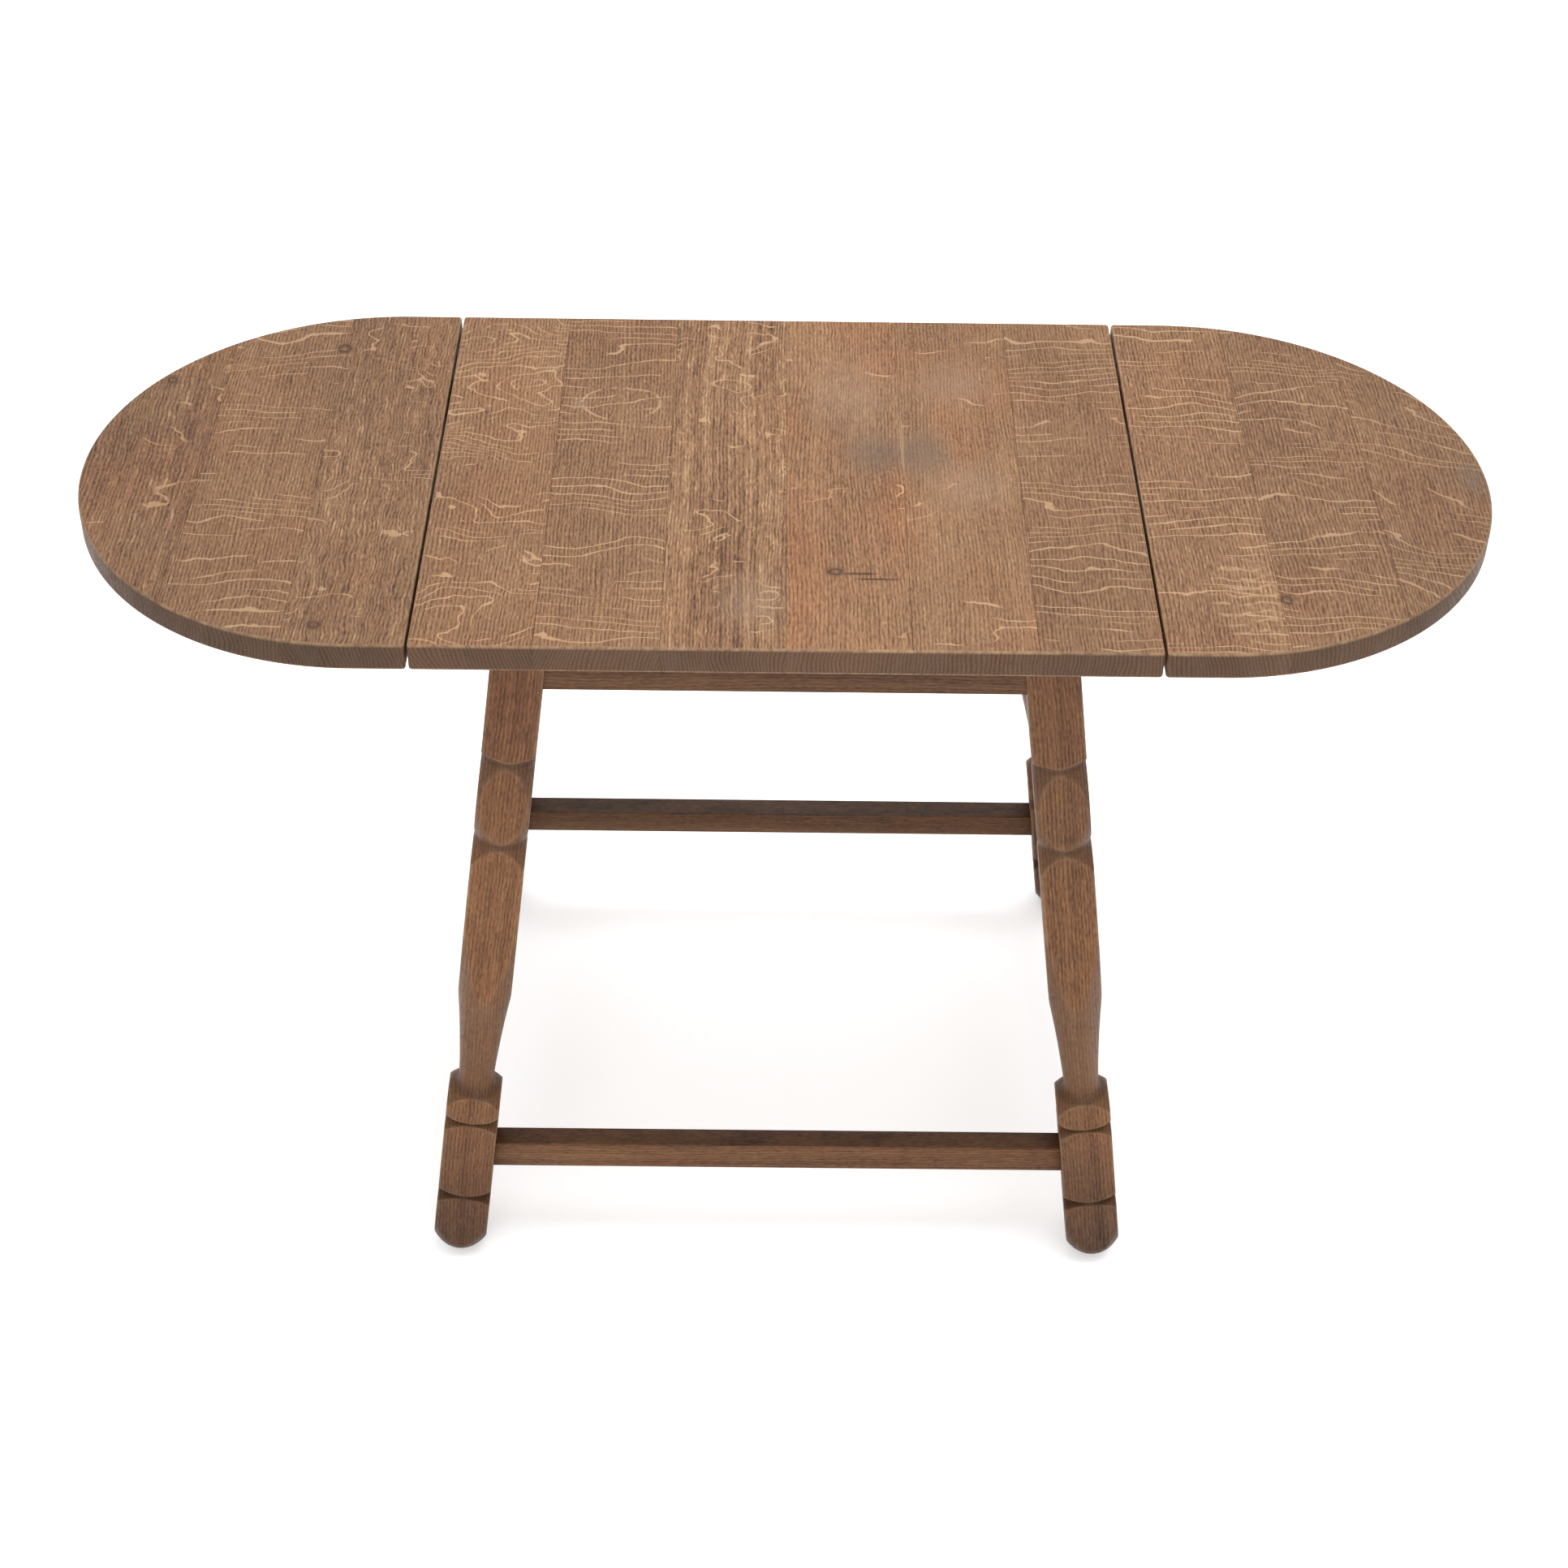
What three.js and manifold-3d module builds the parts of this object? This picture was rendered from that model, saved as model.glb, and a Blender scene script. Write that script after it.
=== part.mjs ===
// Oval drop leaf table: a six-stave centre top with a rounded three-stave leaf hinged on each side, four
// splayed legs of square section that are partly turned, an apron frame, a low box stretcher and one folding
// stay per leaf.
// Millimetres, +Z up, +X along the table. The origin is on the floor, below the middle of the top.

import * as THREE from 'three';
import { mergeVertices } from 'three/addons/utils/BufferGeometryUtils.js';
import Module from 'manifold-3d';

const wasm = await Module();
wasm.setup();

// Overall sizes
const TOP_HEIGHT = 710;
const TOP_THICKNESS = 24.5;
const TABLE_WIDTH = 510;
const TABLE_LENGTH = 1204;
const CENTRE_LENGTH = 600;
const HINGE_GAP = 3;
const STAVE_WIDTH = 100;
const CENTRE_STAVES = 6;
const LEAF_STAVES = 3;
const LEAF_STRAIGHT = 47;
const TOP_EDGE = 2.4;
const PLAN_CORNER = 3;
const CLEARANCE = 0.3;

// Legs: centre lines at the level of the upper surface and at the floor, and the side of the blank
// there. The rear legs stand a little further apart than these lines, the front legs a little closer.
const LEG_TOP = { x: 213, y: 187.5 };
const LEG_FOOT = { x: 303.5, y: 248.7 };
const LEG_PAIR_SPREAD = 2.4;
const LEG_SIDE_TOP = 44.5;
const LEG_SIDE_FOOT = 49;
const TURNING_SIDES = 16;

// Rails between the legs
const APRON_HEIGHT = 52;
const APRON_THICKNESS = 20;
const APRON_RECESS = 3;
const STRETCHER_DROP = 590;
const STRETCHER_HEIGHT = 27.5;
const STRETCHER_THICKNESS = 23;
const BLOCK_SIDE = 20;
const BLOCK_LENGTH = 60;
const BLOCK_SPACING = 210;

// Leaf hinges
const HINGE_DROP = 3.3;
const HINGE_Y = 150;
const HINGE_LENGTH = 62;
const FLAP_WIDTH = 32;
const FLAP_THICKNESS = 1.8;
const BARREL_RADIUS = 3;
const BARREL_BORE = 1.9;
const HINGE_PIN_RADIUS = 1.5;
const BARREL_SIDES = 16;
const WEB_OVERLAP = 2;

// Folding stays: pivots measured from the hinge axis, outwards and upwards
const STAY_APRON_PIVOT = { out: -45.5, up: -40 };
const STAY_LEAF_PIVOT = { out: 90, up: -10 };
const STAY_SLACK = 3;
const STAY_LOWER_SHARE = 0.6;
const STAY_BAR_WIDTH = 12;
const STAY_BAR_THICKNESS = 3;
const STAY_PIN_RADIUS = 2;
const STAY_BORE_RADIUS = 2.4;
const RIVET_RADIUS = 4.5;
const RIVET_HEIGHT = 1.6;
const BRACKET_THICKNESS = 2.5;
const BRACKET_PLATE = 34;
const BRACKET_HEIGHT = 22;
const EAR_FLARE = 3;
const STAY_SIDES = 14;

const UNDERSIDE = TOP_HEIGHT - TOP_THICKNESS;
const HINGE_X = CENTRE_LENGTH / 2;
const HINGE_Z = UNDERSIDE - HINGE_DROP;
const SPLAY = new THREE.Vector2(LEG_FOOT.x - LEG_TOP.x, LEG_FOOT.y - LEG_TOP.y);
const LEG_STRETCH = Math.hypot(SPLAY.x, SPLAY.y, TOP_HEIGHT) / TOP_HEIGHT;

const OAK_TOP = { color: 0xa27f62, roughness: 0.5, metalness: 0 };
const OAK_LEG = { color: 0x77553d, roughness: 0.55, metalness: 0 };
const OAK_RAIL = { color: 0x6c503c, roughness: 0.6, metalness: 0 };
const STEEL = { color: 0x77736c, roughness: 0.45, metalness: 1 };
const BRASS = { color: 0x9a7c45, roughness: 0.4, metalness: 1 };

const table = new THREE.Group();

function addPart(name, geometry, finish, parent = table) {
  const mesh = new THREE.Mesh(geometry, new THREE.MeshStandardMaterial(finish));
  mesh.name = name;
  parent.add(mesh);
  return mesh;
}

// ---- Solids for joining and cutting ----

function toSolid(geometry, matrix = new THREE.Matrix4()) {
  const bare = geometry.clone().applyMatrix4(matrix);
  bare.deleteAttribute('normal');
  bare.deleteAttribute('uv');
  const merged = mergeVertices(bare, 1e-4);
  const vertProperties = new Float32Array(merged.attributes.position.array);
  const triVerts = new Uint32Array(merged.index.array);
  return new wasm.Manifold(new wasm.Mesh({ numProp: 3, vertProperties, triVerts }));
}

function toGeometry(solid) {
  const mesh = solid.getMesh();
  const geometry = new THREE.BufferGeometry();
  geometry.setAttribute('position', new THREE.BufferAttribute(mesh.vertProperties, 3));
  geometry.setIndex(new THREE.BufferAttribute(mesh.triVerts, 1));
  geometry.computeVertexNormals();
  return geometry;
}

function boxBetween(low, high) {
  const size = new THREE.Vector3().subVectors(high, low);
  const centre = new THREE.Vector3().addVectors(low, high).multiplyScalar(0.5);
  return new THREE.BoxGeometry(size.x, size.y, size.z).translate(centre.x, centre.y, centre.z);
}

// A cylinder whose axis runs along Y, from y to y + length
function crossCylinder(radius, length, sides, y) {
  return new THREE.CylinderGeometry(radius, radius, length, sides).translate(0, y + length / 2, 0);
}

// Everything between the floor and the underside of the top
const roomUnderTop = toSolid(boxBetween(
  new THREE.Vector3(-TABLE_LENGTH, -TABLE_LENGTH, 0),
  new THREE.Vector3(TABLE_LENGTH, TABLE_LENGTH, UNDERSIDE - CLEARANCE),
));

// ---- Table top ----

function softenedSlab(outline) {
  const slab = new THREE.ExtrudeGeometry(outline, {
    depth: TOP_THICKNESS - 2 * TOP_EDGE,
    bevelEnabled: true,
    bevelThickness: TOP_EDGE,
    bevelSize: TOP_EDGE,
    bevelOffset: -TOP_EDGE,
    bevelSegments: 2,
    curveSegments: 36,
  });
  return slab.translate(0, 0, UNDERSIDE + TOP_EDGE);
}

function centreOutline() {
  const x = CENTRE_LENGTH / 2 - HINGE_GAP / 2;
  const y = TABLE_WIDTH / 2;
  const outline = new THREE.Shape();
  outline.moveTo(-x + PLAN_CORNER, -y);
  outline.lineTo(x - PLAN_CORNER, -y);
  outline.lineTo(x, -y + PLAN_CORNER);
  outline.lineTo(x, y - PLAN_CORNER);
  outline.lineTo(x - PLAN_CORNER, y);
  outline.lineTo(-x + PLAN_CORNER, y);
  outline.lineTo(-x, y - PLAN_CORNER);
  outline.lineTo(-x, -y + PLAN_CORNER);
  outline.lineTo(-x + PLAN_CORNER, -y);
  return outline;
}

// The right-hand leaf: a short straight run from the hinge, then half a round
function leafOutline() {
  const x = CENTRE_LENGTH / 2 + HINGE_GAP / 2;
  const y = TABLE_WIDTH / 2;
  const straightEnd = CENTRE_LENGTH / 2 + LEAF_STRAIGHT;
  const outline = new THREE.Shape();
  outline.moveTo(x + PLAN_CORNER, -y);
  outline.lineTo(straightEnd, -y);
  const reach = TABLE_LENGTH / 2 - straightEnd;
  outline.absellipse(straightEnd, 0, reach, y, -Math.PI / 2, Math.PI / 2, false, 0);
  outline.lineTo(x + PLAN_CORNER, y);
  outline.lineTo(x, y - PLAN_CORNER);
  outline.lineTo(x, -y + PLAN_CORNER);
  outline.lineTo(x + PLAN_CORNER, -y);
  return outline;
}

function staveCut(slab, fromX, toX) {
  const cutter = boxBetween(
    new THREE.Vector3(fromX + CLEARANCE / 2, -TABLE_WIDTH, 0),
    new THREE.Vector3(toX - CLEARANCE / 2, TABLE_WIDTH, 2 * TOP_HEIGHT),
  );
  return toGeometry(slab.intersect(toSolid(cutter)));
}

function addCentreTop() {
  const slab = toSolid(softenedSlab(centreOutline()));
  for (let i = 0; i < CENTRE_STAVES; i += 1) {
    const fromX = (i - CENTRE_STAVES / 2) * STAVE_WIDTH;
    addPart(`centre_stave_${i + 1}`, staveCut(slab, fromX, fromX + STAVE_WIDTH), OAK_TOP);
  }
}

function addLeaf(side, parent) {
  const slab = toSolid(softenedSlab(leafOutline()));
  for (let i = 0; i < LEAF_STAVES; i += 1) {
    const fromX = HINGE_X + i * STAVE_WIDTH;
    const toX = i === LEAF_STAVES - 1 ? TABLE_LENGTH : fromX + STAVE_WIDTH;
    addPart(`${side}_leaf_stave_${i + 1}`, staveCut(slab, fromX, toX), OAK_TOP, parent);
  }
}

// ---- Legs ----

function legPlacement(sideX, sideY) {
  const spread = sideY * LEG_PAIR_SPREAD;
  const top = new THREE.Vector3(sideX * (LEG_TOP.x + spread), sideY * LEG_TOP.y, TOP_HEIGHT);
  const foot = new THREE.Vector3(sideX * (LEG_FOOT.x + spread), sideY * LEG_FOOT.y, 0);
  const up = new THREE.Vector3().subVectors(top, foot).normalize();
  const back = new THREE.Vector3(0, 1, 0).addScaledVector(up, -up.y).normalize();
  const right = new THREE.Vector3().crossVectors(back, up);
  return new THREE.Matrix4().makeBasis(right, back, up).setPosition(top);
}

function legSide(drop) {
  return THREE.MathUtils.lerp(LEG_SIDE_TOP, LEG_SIDE_FOOT, drop / TOP_HEIGHT);
}

// The square tapered blank, along -Z from the level of the upper surface, with extra on every face
function legBlank(extra = 0) {
  const over = 20;
  const length = (TOP_HEIGHT + over) * LEG_STRETCH;
  const cornerTop = (legSide(0) / 2 + extra) * Math.SQRT2;
  const cornerFoot = (legSide(TOP_HEIGHT + over) / 2 + extra) * Math.SQRT2;
  return new THREE.CylinderGeometry(cornerTop, cornerFoot, length, 4)
    .rotateY(Math.PI / 4)
    .rotateX(Math.PI / 2)
    .translate(0, 0, -length / 2);
}

// Points on a shallow arc from one profile point to another, bulging outwards by the given rise
function swell(from, to, rise, steps) {
  const points = [];
  for (let i = 0; i <= steps; i += 1) {
    const t = i / steps;
    const bulge = 4 * rise * t * (1 - t);
    points.push([from[0] + (to[0] - from[0]) * t + bulge, from[1] + (to[1] - from[1]) * t]);
  }
  return points;
}

// Turned profile: [radius, drop below the upper surface], from the top of the leg to the foot.
// A radius beyond the blank's corner leaves the square as it is, so each flat ends where the
// radius falls below half the side.
function turnedProfile() {
  const square = 40;
  const belowFloor = 714;
  const shoulderAndGroove = [[square, 135], [33, 139.5], [25.5, 144], [21, 150]];
  const bead = swell([21, 151], [21.6, 233], 9.7, 6);
  const vase = [
    [22.3, 237], [25.6, 242], [29.4, 249], [33.2, 258], [36, 272], [35, 300], [32.2, 328],
    [29.4, 356], [26.5, 382], [24, 404], [21.6, 425], [18.5, 460], [16.1, 492], [15.9, 508],
  ];
  const collar = [
    [18, 511.5], [22, 513.5], [27, 516.5], [31, 521], [33.6, 528], [32.6, 534], [28, 540], [21.4, 544],
  ];
  const lowerBlock = [
    [24.5, 546.2], [29, 549], [34, 553], [square, 557], [square, 612], [32, 625], [26, 629.5], [22, 633.5],
  ];
  const foot = [
    [26, 635.6], [31, 638], [36, 641.5], [36, 656], [34, 665], [31.9, 674], [29.5, 682], [26.8, 689],
    [23.4, 695.4], [19.2, 701], [14.2, 705.6], [10, 708.4], [8.5, belowFloor],
  ];
  return [
    [0, 0], [square, 0], ...shoulderAndGroove, ...bead, ...vase, ...collar, ...lowerBlock, ...foot,
    [0, belowFloor],
  ];
}

function turnedLeg() {
  const points = turnedProfile().map(([radius, drop]) => new THREE.Vector2(radius, -drop * LEG_STRETCH));
  points.reverse();
  const turning = new THREE.LatheGeometry(points, TURNING_SIDES).rotateX(Math.PI / 2);
  return toSolid(legBlank()).intersect(toSolid(turning));
}

function addLegs() {
  const leg = toGeometry(turnedLeg());
  for (const [row, sideY] of [['front', -1], ['rear', 1]]) {
    for (const [side, sideX] of [['left', -1], ['right', 1]]) {
      const standing = toSolid(leg, legPlacement(sideX, sideY)).intersect(roomUnderTop);
      addPart(`leg_${row}_${side}`, toGeometry(standing), OAK_LEG);
    }
  }
}

// ---- Aprons, stretchers and glue blocks ----

// Rail placement in one leg plane: the local frame leans with the legs, x along the rail and y outwards
function leaningFrame(alongX, side, drop) {
  const share = drop / TOP_HEIGHT;
  const lean = alongX ? SPLAY.y : SPLAY.x;
  const start = alongX ? LEG_TOP.y : LEG_TOP.x;
  const distance = start + lean * share;
  const up = new THREE.Vector3(0, -lean, TOP_HEIGHT).normalize();
  const out = new THREE.Vector3(0, up.z, -up.y);
  const frame = new THREE.Matrix4().makeBasis(new THREE.Vector3(1, 0, 0), out, up);
  frame.setPosition(0, distance, TOP_HEIGHT - drop);
  const turn = alongX ? (side > 0 ? 0 : Math.PI) : -side * Math.PI / 2;
  return frame.premultiply(new THREE.Matrix4().makeRotationZ(turn));
}

function neighbourBlanks(alongX, side) {
  const blank = legBlank(CLEARANCE);
  const placements = [-1, 1].map((end) => (alongX ? legPlacement(end, side) : legPlacement(side, end)));
  return placements.map((placement) => toSolid(blank, placement));
}

// A bar between the middles of two legs, cut back to stop just short of their faces
function rail(alongX, side, drop, height, thickness, outOffset) {
  const share = drop / TOP_HEIGHT;
  const span = alongX ? LEG_TOP.x + SPLAY.x * share : LEG_TOP.y + SPLAY.y * share;
  const bar = new THREE.BoxGeometry(2 * span, thickness, height).translate(0, outOffset, 0);
  let solid = toSolid(bar, leaningFrame(alongX, side, drop)).intersect(roomUnderTop);
  for (const blank of neighbourBlanks(alongX, side)) {
    solid = solid.subtract(blank);
  }
  return toGeometry(solid);
}

const RAIL_SIDES = [['front', true, -1], ['rear', true, 1], ['left', false, -1], ['right', false, 1]];
const APRON_DROP = TOP_THICKNESS + APRON_HEIGHT / 2;

function apronOutset() {
  return legSide(APRON_DROP) / 2 - APRON_RECESS - APRON_THICKNESS / 2;
}

function addRails() {
  for (const [name, alongX, side] of RAIL_SIDES) {
    const apron = rail(alongX, side, APRON_DROP, APRON_HEIGHT, APRON_THICKNESS, apronOutset());
    addPart(`apron_${name}`, apron, OAK_RAIL);
    const stretcher = rail(alongX, side, STRETCHER_DROP, STRETCHER_HEIGHT, STRETCHER_THICKNESS, 0);
    addPart(`stretcher_${name}`, stretcher, OAK_RAIL);
  }
}

// Glue blocks in the angle between the aprons and the top
function addGlueBlocks() {
  const inset = apronOutset() - APRON_THICKNESS / 2 - CLEARANCE - BLOCK_SIDE / 2;
  const raise = (APRON_HEIGHT - BLOCK_SIDE) / 2;
  for (const [name, alongX, side] of RAIL_SIDES) {
    const places = alongX ? [-BLOCK_SPACING / 2, BLOCK_SPACING / 2] : [0];
    places.forEach((along, i) => {
      const block = new THREE.BoxGeometry(BLOCK_LENGTH, BLOCK_SIDE, BLOCK_SIDE);
      block.translate(along, inset, raise);
      const label = alongX ? `glue_block_${name}_${i + 1}` : `glue_block_${name}`;
      const standing = toSolid(block, leaningFrame(alongX, side, APRON_DROP)).intersect(roomUnderTop);
      addPart(label, toGeometry(standing), OAK_RAIL);
    });
  }
}

// ---- Leaf hinges, in a frame with the pin along Y at the origin and the leaf on +X ----

function barrel(fromY, toY) {
  const outer = toSolid(crossCylinder(BARREL_RADIUS, toY - fromY, BARREL_SIDES, fromY));
  const bore = toSolid(crossCylinder(BARREL_BORE, toY - fromY + 2, BARREL_SIDES, fromY - 1));
  return { outer, bore };
}

// A flap plate on one side with the barrel lengths that belong to it
function hingeFlap(side, spans) {
  const half = HINGE_LENGTH / 2;
  const top = HINGE_DROP - CLEARANCE;
  const plate = (inner, outer, fromY, toY) => toSolid(boxBetween(
    new THREE.Vector3(Math.min(side * inner, side * outer), fromY, top - FLAP_THICKNESS),
    new THREE.Vector3(Math.max(side * inner, side * outer), toY, top),
  ));
  const thirds = half / 3;
  let flap = plate(HINGE_PIN_RADIUS, FLAP_WIDTH, -half, half);
  const relief = crossCylinder(BARREL_RADIUS + CLEARANCE, 2 * half + 2, BARREL_SIDES, -half - 1);
  flap = flap.subtract(toSolid(relief));
  for (const [from, to] of spans) {
    const fromY = from * thirds + CLEARANCE / 2;
    const toY = to * thirds - CLEARANCE / 2;
    const { outer, bore } = barrel(fromY, toY);
    const web = plate(0, BARREL_RADIUS + WEB_OVERLAP, fromY, toY);
    flap = flap.add(web).add(outer).subtract(bore);
  }
  return toGeometry(flap);
}

// The left side is turned half a turn once it is built, which brings its front row to the front
function addHinges(side, base, leaf) {
  const outerSpans = [[-3, -1], [1, 3]];
  const middleSpan = [[-1, 1]];
  const frontY = side === 'left' ? HINGE_Y : -HINGE_Y;
  for (const [row, y] of [['front', frontY], ['rear', -frontY]]) {
    const fixedFlap = addPart(`hinge_${side}_${row}_fixed_flap`, hingeFlap(-1, outerSpans), STEEL, base);
    const leafFlap = addPart(`hinge_${side}_${row}_leaf_flap`, hingeFlap(1, middleSpan), STEEL, leaf);
    const pinGeometry = crossCylinder(HINGE_PIN_RADIUS, HINGE_LENGTH, BARREL_SIDES, -HINGE_LENGTH / 2);
    const pin = addPart(`hinge_${side}_${row}_pin`, pinGeometry, STEEL, base);
    for (const piece of [fixedFlap, leafFlap, pin]) {
      piece.position.set(HINGE_X, y, HINGE_Z);
    }
  }
}

// ---- Folding stays, in the same frame as the hinges ----

function stayPoints() {
  const apron = new THREE.Vector2(STAY_APRON_PIVOT.out, STAY_APRON_PIVOT.up);
  const leaf = new THREE.Vector2(STAY_LEAF_PIVOT.out, STAY_LEAF_PIVOT.up);
  const reach = leaf.clone().sub(apron);
  const lower = (reach.length() + STAY_SLACK) * STAY_LOWER_SHARE;
  const upper = (reach.length() + STAY_SLACK) * (1 - STAY_LOWER_SHARE);
  const along = (lower ** 2 - upper ** 2 + reach.lengthSq()) / (2 * reach.length());
  const below = Math.sqrt(lower ** 2 - along ** 2);
  const direction = reach.clone().normalize();
  const knuckle = apron.clone().addScaledVector(direction, along)
    .add(new THREE.Vector2(direction.y, -direction.x).multiplyScalar(below));
  return { apron, leaf, knuckle };
}

// Turns a shape drawn in the x-z plane into a plate from y to y + thickness
function uprightPlate(shape, y, thickness) {
  return new THREE.ExtrudeGeometry(shape, { depth: thickness, bevelEnabled: false, curveSegments: 8 })
    .rotateX(Math.PI / 2)
    .translate(0, y + thickness, 0);
}

// A bar with round ends from its pivot to the knuckle, bored at the pivot, with a rivet head on the knuckle
function stayBar(pivot, knuckle, y, headSide) {
  const run = knuckle.clone().sub(pivot);
  const half = STAY_BAR_WIDTH / 2;
  const outline = new THREE.Shape();
  outline.absarc(0, 0, half, Math.PI / 2, -Math.PI / 2, false);
  outline.absarc(run.length(), 0, half, -Math.PI / 2, Math.PI / 2, false);
  const bar = toSolid(uprightPlate(outline, y, STAY_BAR_THICKNESS));
  const bore = toSolid(crossCylinder(STAY_BORE_RADIUS, STAY_BAR_THICKNESS + 2, STAY_SIDES, y - 1));
  const headStart = headSide > 0 ? y + STAY_BAR_THICKNESS - 1 : y - RIVET_HEIGHT;
  const head = crossCylinder(RIVET_RADIUS, RIVET_HEIGHT + 1, STAY_SIDES, headStart);
  head.translate(run.length(), 0, 0);
  const geometry = toGeometry(bar.subtract(bore).add(toSolid(head)));
  return geometry.rotateY(-run.angle()).translate(pivot.x, 0, pivot.y);
}

// An ear standing off a bracket plate towards its pivot, bored for the pin
function ear(pivot, back, y) {
  const half = STAY_BAR_WIDTH / 2 + 1;
  const length = pivot.distanceTo(back);
  const outline = new THREE.Shape();
  outline.absarc(0, 0, half, -Math.PI / 2, Math.PI / 2, false);
  outline.lineTo(-length, half + EAR_FLARE);
  outline.lineTo(-length, -half - EAR_FLARE);
  const plate = toSolid(uprightPlate(outline, y, BRACKET_THICKNESS));
  const bore = toSolid(crossCylinder(STAY_BORE_RADIUS, BRACKET_THICKNESS + 2, STAY_SIDES, y - 1));
  const angle = pivot.clone().sub(back).angle();
  return toSolid(toGeometry(plate.subtract(bore)).rotateY(-angle).translate(pivot.x, 0, pivot.y));
}

// A pin with a head at each end, held a little clear of the bar and the ear
function stayPin(pivot, fromY, toY) {
  const headRadius = RIVET_RADIUS - 0.5;
  const low = fromY - RIVET_HEIGHT;
  const high = toY + RIVET_HEIGHT;
  const profile = [
    [0, low], [headRadius, low], [headRadius, fromY], [STAY_PIN_RADIUS, fromY],
    [STAY_PIN_RADIUS, toY], [headRadius, toY], [headRadius, high], [0, high],
  ].map(([radius, y]) => new THREE.Vector2(radius, y));
  return new THREE.LatheGeometry(profile, STAY_SIDES).translate(pivot.x, 0, pivot.y);
}

function addStay(side, base, leaf) {
  const { apron, leaf: leafPivot, knuckle } = stayPoints();
  const apart = CLEARANCE / 2;
  const lowerY = -apart - STAY_BAR_THICKNESS;
  const apronEarY = lowerY - CLEARANCE - BRACKET_THICKNESS;
  const upperEnd = apart + STAY_BAR_THICKNESS;
  const leafEarY = upperEnd + CLEARANCE;

  // Apron bracket: a plate that leans with the apron's outer face
  const pivotDrop = TOP_HEIGHT - HINGE_Z - apron.y;
  const legCentreX = LEG_TOP.x + SPLAY.x * pivotDrop / TOP_HEIGHT;
  const faceX = legCentreX + legSide(APRON_DROP) / 2 - APRON_RECESS - HINGE_X;
  const leanAngle = Math.atan2(SPLAY.x, TOP_HEIGHT);
  const plateX = faceX + 2 * CLEARANCE + BRACKET_THICKNESS / 2;
  const apronPlate = new THREE.BoxGeometry(BRACKET_THICKNESS, BRACKET_PLATE, BRACKET_HEIGHT)
    .rotateY(-leanAngle)
    .translate(plateX, 0, apron.y);
  const apronEar = ear(apron, new THREE.Vector2(plateX, apron.y), apronEarY);
  const apronBracket = toGeometry(toSolid(apronPlate).add(apronEar));

  // Leaf bracket: a plate flat on the underside of the leaf
  const plateTop = HINGE_DROP - CLEARANCE;
  const leafPlate = boxBetween(
    new THREE.Vector3(leafPivot.x - BRACKET_PLATE / 2, -BRACKET_PLATE / 2, plateTop - BRACKET_THICKNESS),
    new THREE.Vector3(leafPivot.x + BRACKET_PLATE / 2, BRACKET_PLATE / 2, plateTop),
  );
  const leafEar = ear(leafPivot, new THREE.Vector2(leafPivot.x, plateTop - 1), leafEarY);
  const leafBracket = toGeometry(toSolid(leafPlate).add(leafEar));

  const pinSlack = CLEARANCE / 3;
  const apronPin = stayPin(apron, apronEarY - CLEARANCE, -apart + pinSlack);
  const leafPin = stayPin(leafPivot, apart - pinSlack, leafEarY + BRACKET_THICKNESS + CLEARANCE);
  const pieces = [
    addPart(`stay_${side}_apron_bracket`, apronBracket, BRASS, base),
    addPart(`stay_${side}_apron_pin`, apronPin, BRASS, base),
    addPart(`stay_${side}_lower_bar`, stayBar(apron, knuckle, lowerY, -1), BRASS, base),
    addPart(`stay_${side}_upper_bar`, stayBar(leafPivot, knuckle, apart, 1), BRASS, leaf),
    addPart(`stay_${side}_leaf_pin`, leafPin, BRASS, leaf),
    addPart(`stay_${side}_leaf_bracket`, leafBracket, BRASS, leaf),
  ];
  for (const piece of pieces) {
    piece.position.set(HINGE_X, 0, HINGE_Z);
  }
}

addCentreTop();
addLegs();
addRails();
addGlueBlocks();

// The left side is the right side turned half a turn about the vertical
for (const [side, turn] of [['left', Math.PI], ['right', 0]]) {
  const base = new THREE.Group();
  const leaf = new THREE.Group();
  base.rotation.z = turn;
  leaf.rotation.z = turn;
  table.add(base, leaf);
  addLeaf(side, leaf);
  addHinges(side, base, leaf);
  addStay(side, base, leaf);
}

export default table;
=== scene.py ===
"""Oval drop leaf table in waxed oak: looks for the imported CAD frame. Metres, +Z up, +X along the table."""

import math
import random
from types import SimpleNamespace

import bmesh
import bpy
from mathutils import Matrix, Vector


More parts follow.
